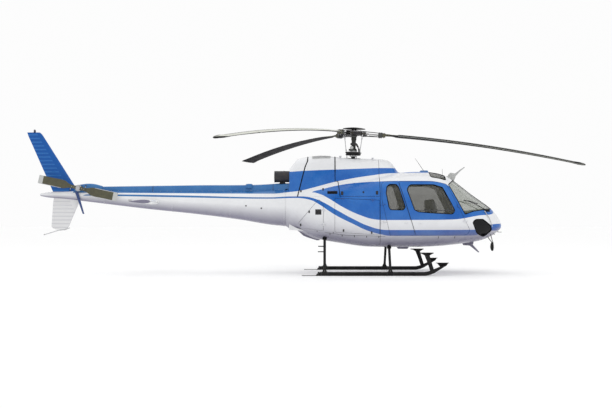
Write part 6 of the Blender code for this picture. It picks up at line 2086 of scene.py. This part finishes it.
KNUCKLE = (0.011, 0.029)
HINGE_AXES = (
    # body, axis start, axis end, spots, how far the fixed arms reach in x and z, and the moving arms
    ("front_door", (3.574, 0.835, 1.150), (3.274, 0.815, 1.750), (0.08, 0.62), (0.055, 0.0), (-0.060, 0.0)),
    ("rear_door", (1.690, 0.952, 1.100), (1.690, 0.932, 1.600), (0.15, 0.92), (-0.012, 0.0), (0.110, 0.0)),
    ("hold_door", (0.660, 0.775, 1.712), (1.645, 0.915, 1.667), (0.16, 0.84), (0.0, 0.014), (0.0, -0.050)),
    ("rear_hold_door", (0.412, 0.772, 1.080), (0.412, 0.767, 1.480), (0.10, 0.90), (0.045, 0.0), (-0.060, 0.0)),
)
COWL_HINGE = ((0.700, 0.203, 2.672), (1.600, 0.203, 2.620), (0.10, 0.92))


def knuckle(centre, along, sign, end):
    """Half of one hinge: its knuckle and a strap to its own piece."""
    near, far = centre + along * sign * 0.0004, centre + along * sign * KNUCKLE[1]
    middle = (near + far) / 2
    strap = [middle, middle.lerp(end, 0.5), end]
    return rod(near, far, KNUCKLE[0], 20, 0.0015).plus(tube(strap, 0.0085, 12, 0.8))


def make_hinges():
    fixed = Piece("hinge_brackets", "airframe", "bare_metal")
    for name, start, end, spots, fixed_reach, moving_reach in HINGE_AXES:
        for word, side in (("right", -1), ("left", 1)):
            if name == "rear_hold_door" and side > 0:
                continue
            body = name if name == "rear_hold_door" else word + "_" + name
            moving = Piece(body + "_hinges", body, "bare_metal")
            low, high = Vector(start), Vector(end)
            low.y, high.y = low.y * side, high.y * side
            along = (high - low).normalized()
            for spot in spots:
                centre = low.lerp(high, spot)
                fixed.add(knuckle(centre, along, -1.0, skin_at(centre.x + fixed_reach[0], centre.z + fixed_reach[1], side,
                                                               0.006)), LIVERY)
                moving.add(knuckle(centre, along, 1.0, skin_at(centre.x + moving_reach[0], centre.z + moving_reach[1],
                                                               side, 0.004)), LIVERY)
            moving.done()
    low, high, spots = COWL_HINGE
    for word, side in (("right", -1), ("left", 1)):
        body = word + "_gearbox_cowl"
        moving = Piece(body + "_hinges", body, "bare_metal")
        start, end = Vector(low), Vector(high)
        start.y, end.y = start.y * side, end.y * side
        along = (end - start).normalized()
        for spot in spots:
            centre = start.lerp(end, spot)
            for piece, sign, y in ((fixed, -1.0, 0.165), (moving, 1.0, 0.245)):
                top = COWL_SKIN.place(COWL_SKIN.from_above(np.array([[centre.x, y]])))[0][0]
                piece.add(knuckle(centre, along, sign, Vector((centre.x, side * y, top[2] - 0.004))), LIVERY)
        moving.done()
    fixed.done()


def handle(x, z, side):
    """A flush door handle: a shallow dish with a lever across it, both in the livery paint."""
    dish = hull_sheet([hull_loop(rectangle(x - 0.055, x + 0.055, z - 0.022, z + 0.022), 0.018)], -0.0012, 0.001, 0.0008)
    lever = hull_sheet([hull_loop(rectangle(x - 0.045, x + 0.028, z - 0.009, z + 0.009), 0.008)], -0.0085, -0.0015, 0.002)
    return (dish.at(side), LIVERY), (lever.at(side), LIVERY)


def make_door_fittings():
    for word, side in (("right", -1), ("left", 1)):
        for name, x, z in (("front_door", 2.545, 1.150), ("rear_door", 2.240, 1.160)):
            body = word + "_" + name
            piece = Piece(body + "_handle", body, "dark_trim")
            for part, material in handle(x, z, side):
                piece.add(part, material)
            inner = skin_at(x, z, side, 0.050)
            piece.add(rod(inner, inner + Vector((-0.09, 0, 0.01)), 0.008, 12, 0.002), STEEL)
            piece.done()


def make_fittings():
    piece = Piece("roof_aerial_detail", "airframe", "blue_paint")
    base = [[(x, y * half, z) for x, y in filleted(((2.61 + cut, -1), (2.81 - cut, -1), (2.81 - cut, 1), (2.61 + cut, 1)),
                                                   0.02)]
            for z, half, cut in ((2.296, 0.058, 0.0), (2.326, 0.053, 0.006), (2.343, 0.040, 0.018), (2.348, 0.028, 0.030))]
    piece.add(loft(base), LIVERY_BLUE)
    piece.add(rod((2.716, 0, 2.325), (2.515, 0, 2.618), 0.0055, 12, 0.0, 0.003), DARK_STEEL)
    piece.add(ball((2.5155, 0, 2.6165), 0.005, 8), RUBBER)
    piece.done("roof_aerial")

    piece = Piece("upper_cutter_detail", "airframe", "cabin_paint")
    post = ((3.235, 2.185), (3.285, 2.270), (3.322, 2.298), (3.365, 2.290), (3.425, 2.280), (3.540, 2.368), (3.639, 2.432),
            (3.651, 2.416), (3.548, 2.333), (3.440, 2.215), (3.400, 2.100))
    piece.add(prism(post, "Y", -0.0085, 0.0085, 0.003), LIGHT_GREY)
    piece.add(prism(((3.430, 2.276), (3.550, 2.370), (3.640, 2.4315), (3.645, 2.422), (3.445, 2.260)), "Y", -0.0095, 0.0095, 0.001), STEEL)
    for x, z in ((3.290, 2.245), (3.330, 2.265), (3.360, 2.225), (3.400, 2.240)):
        piece.add(rod((x, -0.0115, z), (x, 0.0115, z), 0.007, 12, 0.001), STEEL)
    piece.add(box((3.215, -0.040, 2.170), (3.330, 0.040, 2.215), 0.008), LIGHT_GREY)
    piece.done("upper_wire_cutter")

    piece = Piece("lower_cutter_detail", "airframe", "cabin_paint")
    post = ((3.590, 0.725), (3.612, 0.632), (3.762, 0.622), (3.962, 0.462), (3.986, 0.476), (3.832, 0.642), (3.868, 0.745))
    # The lower cutter in painted shade
    piece.add(prism(post, "Y", -0.012, 0.012, 0.003), BELLY_SHADE_PAINT)
    piece.add(prism(((3.780, 0.622), (3.962, 0.4625), (3.972, 0.470), (3.800, 0.640)), "Y", -0.0045, 0.0045, 0.001), STEEL)
    piece.add(box((3.600, -0.045, 0.655), (3.840, 0.045, 0.715), 0.010), BELLY_SHADE_PAINT)
    for x in (3.640, 3.720, 3.800):
        piece.add(rod((x, -0.0155, 0.645), (x, 0.0155, 0.645), 0.007, 12, 0.001), STEEL)
    piece.done("lower_wire_cutter")

    piece = Piece("hard_point_detail", "airframe", "gear_paint")
    lump = [[(x, y, z) for x, y in filleted(((low, -half), (high, -half), (high, half), (low, half)), 0.03)]
            for z, low, high, half in ((0.5505, 2.115, 2.325, 0.105), (0.556, 2.108, 2.332, 0.111), (0.612, 2.070, 2.370, 0.150))]
    # The hard point in painted shade
    piece.add(loft(lump), BELLY_SHADE_PAINT)
    for x in (2.140, 2.300):
        for y in (-0.080, 0.080):
            piece.add(rod((x, y, 0.551), (x, y, 0.558), 0.010, 6), STEEL)
    piece.done("belly_hard_point")

    piece = Piece("nose_mirror_detail", "airframe", "dark_trim")
    facing = Matrix.Translation((4.210, -0.430, 0.615)) @ Matrix.Rotation(math.radians(90), 4, "Y")
    shell = ((0.020, -0.039), (0.055, -0.038), (0.086, -0.026), (0.097, -0.010), (0.0995, 0.004), (0.096, 0.014),
             (0.088, 0.018))
    piece.add(turned(shell, 40).moved(facing), BLACK)
    piece.add(turned(((0.0845, 0.0175), (0.060, 0.0215), (0.030, 0.0235), (0.0, 0.0240)), 40).moved(facing), MIRROR)
    for start, end in (((4.205, -0.430, 0.700), (4.072, -0.295, 0.905)), ((4.215, -0.460, 0.700), (4.165, -0.358, 0.965))):
        piece.add(rod(start, end, 0.0085, 14), DARK_STEEL)
        piece.add(rod(Vector(end).lerp(Vector(start), 0.16), end, 0.015, 16, 0.002), BLACK)
    piece.add(box((4.195, -0.475, 0.690), (4.225, -0.415, 0.722), 0.005), DARK_STEEL)
    piece.done("nose_mirror")

    piece = Piece("nose_rods_and_wipers", "airframe", "bare_metal")
    rod_line = [skin_at(x, z, -1, -0.020) for x, z in ((4.010, 1.398), (4.110, 1.255), (4.165, 1.110), (4.265, 0.905))]
    piece.add(tube(bent(rod_line, 0.05), 0.0085, 12), LIGHT_GREY)
    for spot in (rod_line[0], rod_line[-1]):
        piece.add(ball(spot + Vector((0, 0.008, 0)), 0.016, 8), LIGHT_GREY)
    for side in (1, -1):
        pivot = skin_at(4.060, 1.425, side, -0.016)
        mid = skin_at(3.800, 1.560, side, -0.016)
        end = skin_at(3.610, 1.640, side, -0.012)
        piece.add(tube((pivot, mid, end), [0.010, 0.007, 0.006], 10), BLACK)
        piece.add(ball(pivot, 0.019, 10), BLACK)
        ends = [skin_at(x, z, side, -0.008) for x, z in ((3.520, 1.650), (3.640, 1.640), (3.860, 1.575))]
        piece.add(tube(bent(ends, 0.10), 0.009, 8, 0.6), RUBBER)
    piece.add(hull_sheet([hull_loop(rectangle(4.020, 4.170, 1.400, 1.452), 0.02)], -0.0012, 0.001, 0.0008).both(), RUBBER)
    piece.add(rod((3.115, -0.18, 2.24), (3.110, -0.18, 2.375), 0.0035, 8), DARK_STEEL)
    for y in (-0.16, 0.16):
        tip = Vector((4.425, y, 0.985))
        piece.add(tube(bent((tip + Vector((-0.10, 0, 0.012)), tip + Vector((-0.04, 0, -0.050)), tip + Vector((0.040, 0, -0.050))),
                            0.02), 0.008, 12), STEEL)
    piece.done()

    piece = Piece("side_markings_and_plugs", "airframe", "dark_trim")
    for x, z, radius, skin in ((-0.330, 1.891, 0.033, COWL_SKIN), (0.262, 0.965, 0.010, HULL_SKIN),
                               (0.620, 0.935, 0.010, HULL_SKIN)):
        if x < -0.3:
            continue
        loop = traced(circle((x, z), radius), skin.from_side, skin.place)
        piece.add(hull_sheet([loop], -0.001, 0.001, 0.0003, skin=skin).both(), RUBBER)
    seam = ((0.430, 0.940), (0.900, 0.880), (1.770, 0.858))
    piece.add(hull_sheet([hull_loop(ribbon(seam, 0.007))], -0.0004, 0.001, 0.0002).both(), DARK_TRIM)
    for x in np.arange(0.55, 1.75, 0.270):
        z = float(np.interp(x, (0.43, 0.90, 1.77), (0.940, 0.880, 0.858)))
        tick = rectangle(x - 0.008, x + 0.008, z - 0.040, z + 0.006)
        piece.add(hull_sheet([hull_loop(tick, 0.003)], -0.0012, 0.001, 0.0004).both(), DARK_STEEL)
    for x in (2.95, 3.32):
        piece.add(hull_sheet([hull_loop(rectangle(x - 0.007, x + 0.007, 0.808, 0.856), 0.003)], -0.0012, 0.001, 0.0004).both(),
                  DARK_STEEL)
    loop = traced(circle((0.560, 1.560), 0.052), HULL_SKIN.from_side, HULL_SKIN.place)
    piece.add(hull_sheet([loop], -0.007, 0.002, 0.003), ALUMINIUM)
    piece.add(hull_sheet([hull_loop(rectangle(0.520, 0.600, 1.553, 1.567), 0.005)], -0.013, -0.006, 0.002), DARK_STEEL)
    piece.add(box((-0.300, -0.012, 1.7405), (-0.290, 0.012, 1.7425), 0.0005), DARK_STEEL)
    piece.done()

    piece = Piece("keel_fairing", "airframe", "metal_paint")
    keel = []
    for x, low, half in ((-0.185, 0.960, 0.020), (-0.150, 0.935, 0.060), (-0.060, 0.850, 0.085), (0.050, 0.805, 0.100),
                         (0.250, 0.745, 0.100), (0.300, 0.745, 0.085), (0.345, 0.775, 0.050)):
        top = HULL_SKIN.place(HULL_SKIN.from_below(np.array([[x, 0.02]])))[0][0][2] + 0.03
        keel.append([(x, y * half, z) for y, z in ((-1, top), (-0.92, low + 0.015), (-0.7, low), (0.7, low), (0.92, low + 0.015),
                                                   (1, top))])
    # The keel fairing in painted shade
    piece.add(loft(keel, 0.004), BELLY_SHADE_PAINT)
    ledge = []
    for x, low, top, half in ((-0.380, 0.995, 1.115, 0.285), (-0.374, 0.988, 1.120, 0.300), (-0.220, 0.980, 1.040, 0.340),
                              (-0.080, 0.966, 0.990, 0.360), (-0.050, 0.970, 0.980, 0.350)):
        ledge.append([(x, y * half, z) for y, z in ((-1, top), (-1, low + 0.008), (-0.97, low), (0.97, low), (1, low + 0.008),
                                                    (1, top))])
    piece.add(loft(ledge, 0.003), LIVERY_WHITE)
    piece.done()


def make_machinery():
    piece = Piece("engine_detail", "airframe", "heavy_metal")
    casing = ((0.110, 0.0), (0.150, 0.010), (0.195, 0.030), (0.198, 0.130), (0.160, 0.150), (0.150, 0.260), (0.190, 0.280),
              (0.205, 0.300), (0.205, 0.420), (0.170, 0.450), (0.120, 0.520), (0.110, 0.600), (0.085, 0.655))
    lying = Matrix.Translation((-0.058, 0, 2.010)) @ Matrix.Rotation(math.radians(90), 4, "Y")
    piece.add(turned(casing, 56).moved(lying), STEEL)
    for at, radius in ((0.020, 0.205), (0.140, 0.204), (0.290, 0.212), (0.430, 0.208)):
        ring = ((radius - 0.03, at - 0.006), (radius, at - 0.006), (radius, at + 0.006), (radius - 0.03, at + 0.006))
        piece.add(turned(ring, 56, True).moved(lying), DARK_STEEL)
        for k in range(20):
            angle = 2 * math.pi * k / 20
            spot = Vector(((radius - 0.010) * math.cos(angle), (radius - 0.010) * math.sin(angle), at + 0.004))
            piece.add(rod(spot, spot + Vector((0, 0, 0.008)), 0.006, 6).moved(lying), STEEL)
    piece.add(box((0.060, -0.150, 1.745), (0.420, 0.150, 1.860), 0.020), GREY_PRIMER)
    for x, y, z, radius, length in ((0.180, -0.080, 1.860, 0.045, 0.060), (0.330, 0.070, 1.860, 0.050, 0.050)):
        piece.add(rod((x, y, z - 0.03), (x, y, z + length), radius, 28, 0.006), DARK_STEEL)
    for y, z, shift in ((-0.215, 1.900, 0.0), (-0.225, 1.960, 0.03), (0.215, 1.910, 0.02)):
        line = ((0.000, y, z), (0.180 + shift, y, z + 0.02), (0.300 + shift, y * 0.95, z - 0.10), (0.500, y * 0.90, z - 0.08))
        piece.add(tube(bent(line, 0.05), 0.009, 12), STEEL if y < 0 else RUBBER)
    for x in (0.020, 0.480):
        for y in (-0.200, 0.200):
            piece.add(rod((x, y, 1.742), (x, y * 0.75, 1.960), 0.013, 16), GREY_PRIMER)
    piece.done("engine")

    piece = Piece("main_gearbox_detail", "airframe", "heavy_metal")
    standing = Matrix.Translation((1.125, 0, DECK + 0.002))
    casing = ((0.225, 0.0), (0.240, 0.012), (0.240, 0.050), (0.215, 0.070), (0.200, 0.170), (0.262, 0.190), (0.266, 0.240),
              (0.225, 0.265), (0.190, 0.360), (0.150, 0.440), (0.125, 0.520), (0.105, 0.560))
    piece.add(turned(casing, 56).moved(standing), CLAMP_GREY)
    piece.add(turned(((0.105, 0.555), (0.100, 0.560), (0.098, 0.5975), (0.085, 0.6035)), 40).moved(standing), GREY_PRIMER)
    for at, radius in ((0.030, 0.232), (0.215, 0.256)):
        for k in range(24):
            angle = 2 * math.pi * k / 24
            spot = Vector((radius * math.cos(angle), radius * math.sin(angle), at + 0.024))
            piece.add(rod(spot, spot + Vector((0, 0, 0.012)), 0.007, 6).moved(standing), STEEL)
    for k in range(12):
        fin = Matrix.Translation((1.125, 0, 0)) @ Matrix.Rotation(2 * math.pi * k / 12, 4, "Z")
        piece.add(prism(((0.195, 1.820), (0.225, 1.820), (0.250, 1.925), (0.195, 1.925)), "Y", -0.005, 0.005, 0.001).moved(fin),
                  CLAMP_GREY)
        piece.add(prism(((0.140, 2.010), (0.215, 2.010), (0.150, 2.180), (0.120, 2.180)), "Y", -0.005, 0.005, 0.001).moved(fin),
                  CLAMP_GREY)
    for x in (0.870, 1.380):
        for y in (-0.255, 0.255):
            piece.add(rod((x, y, DECK + 0.004), (1.125 + (x - 1.125) * 0.42, y * 0.42, 2.240), 0.014, 18), STEEL)
            piece.add(rod((x, y, DECK + 0.001), (x, y, DECK + 0.030), 0.030, 20, 0.004), DARK_STEEL)
    piece.add(tube(bent(((0.790, 0, 1.990), (0.860, 0, 1.950), (0.960, 0, 1.930)), 0.05), 0.055, 28), DARK_STEEL)
    for side in (1, -1):
        line = ((0.960, side * 0.240, 1.800), (1.050, side * 0.270, 1.920), (1.260, side * 0.268, 1.860), (1.320, side * 0.230, 1.780))
        piece.add(tube(bent(line, 0.05), 0.010, 12), RUBBER)
        piece.add(rod((1.330, side * 0.200, 1.760), (1.330, side * 0.200, 1.900), 0.038, 28, 0.006), DARK_STEEL)
    piece.done("main_gearbox")


# Camera, light and floor


CAMERA_PLACE = (0.483, -22.0, 1.444)
CAMERA_LENS = 56.29
CAMERA_SHIFT = (-0.0343, 0.0095)


def make_stage():
    camera = bpy.data.cameras.new("camera")
    camera.lens = CAMERA_LENS
    camera.shift_x, camera.shift_y = CAMERA_SHIFT
    holder = bpy.data.objects.new("camera", camera)
    holder.location = CAMERA_PLACE
    holder.rotation_euler = (math.radians(90), 0, 0)
    bpy.context.scene.collection.objects.link(holder)
    bpy.context.scene.camera = holder
    floor = Part([(-60, -60, 0), (60, -60, 0), (60, 60, 0), (-60, 60, 0)], [(0, 1, 2, 3)])
    look = Look("floor", (0.93, 0.93, 0.93), 0.85, specular_ior_level=0.1, emission_strength=0.07)
    look.shader.inputs["Emission Color"].default_value = (1.0, 1.0, 1.0, 1.0)
    data = bpy.data.meshes.new("floor")
    data.from_pydata(floor.points.tolist(), [], floor.faces)
    data.materials.append(look.material)
    ground = bpy.data.objects.new("floor", data)
    bpy.context.scene.collection.objects.link(ground)
    world = bpy.data.worlds.new("studio")
    world.use_nodes = True
    world.node_tree.nodes["Background"].inputs["Color"].default_value = (1.0, 1.0, 1.0, 1.0)
    world.node_tree.nodes["Background"].inputs["Strength"].default_value = 0.98
    bpy.context.scene.world = world
    for name, place, size, power in (
        ("key_light", (6.0, -10.0, 12.0), 8.0, 170.0),
        ("top_light", (-3.0, 2.0, 12.0), 10.0, 200.0),
    ):
        lamp = bpy.data.lights.new(name, "AREA")
        lamp.energy = power
        lamp.size = size
        holder = bpy.data.objects.new(name, lamp)
        holder.location = place
        holder.rotation_euler = (-Vector(place)).to_track_quat("-Z", "Y").to_euler()
        bpy.context.scene.collection.objects.link(holder)
    bpy.context.scene.view_settings.view_transform = "Standard"


make_stage()
make_cabin()
make_doors()
make_mid_body()
make_hold_doors()
make_engine_cowl()
make_exhaust()
make_gearbox_cowls()
make_spine_and_fairing()
make_boom()
make_covers()
make_fins()
make_tail_rotor()
make_blades()
make_hub()
make_mast()
make_gear()
make_floor_and_walls()
make_seats()
make_panel()
make_hinges()
make_door_fittings()
make_fittings()
make_machinery()
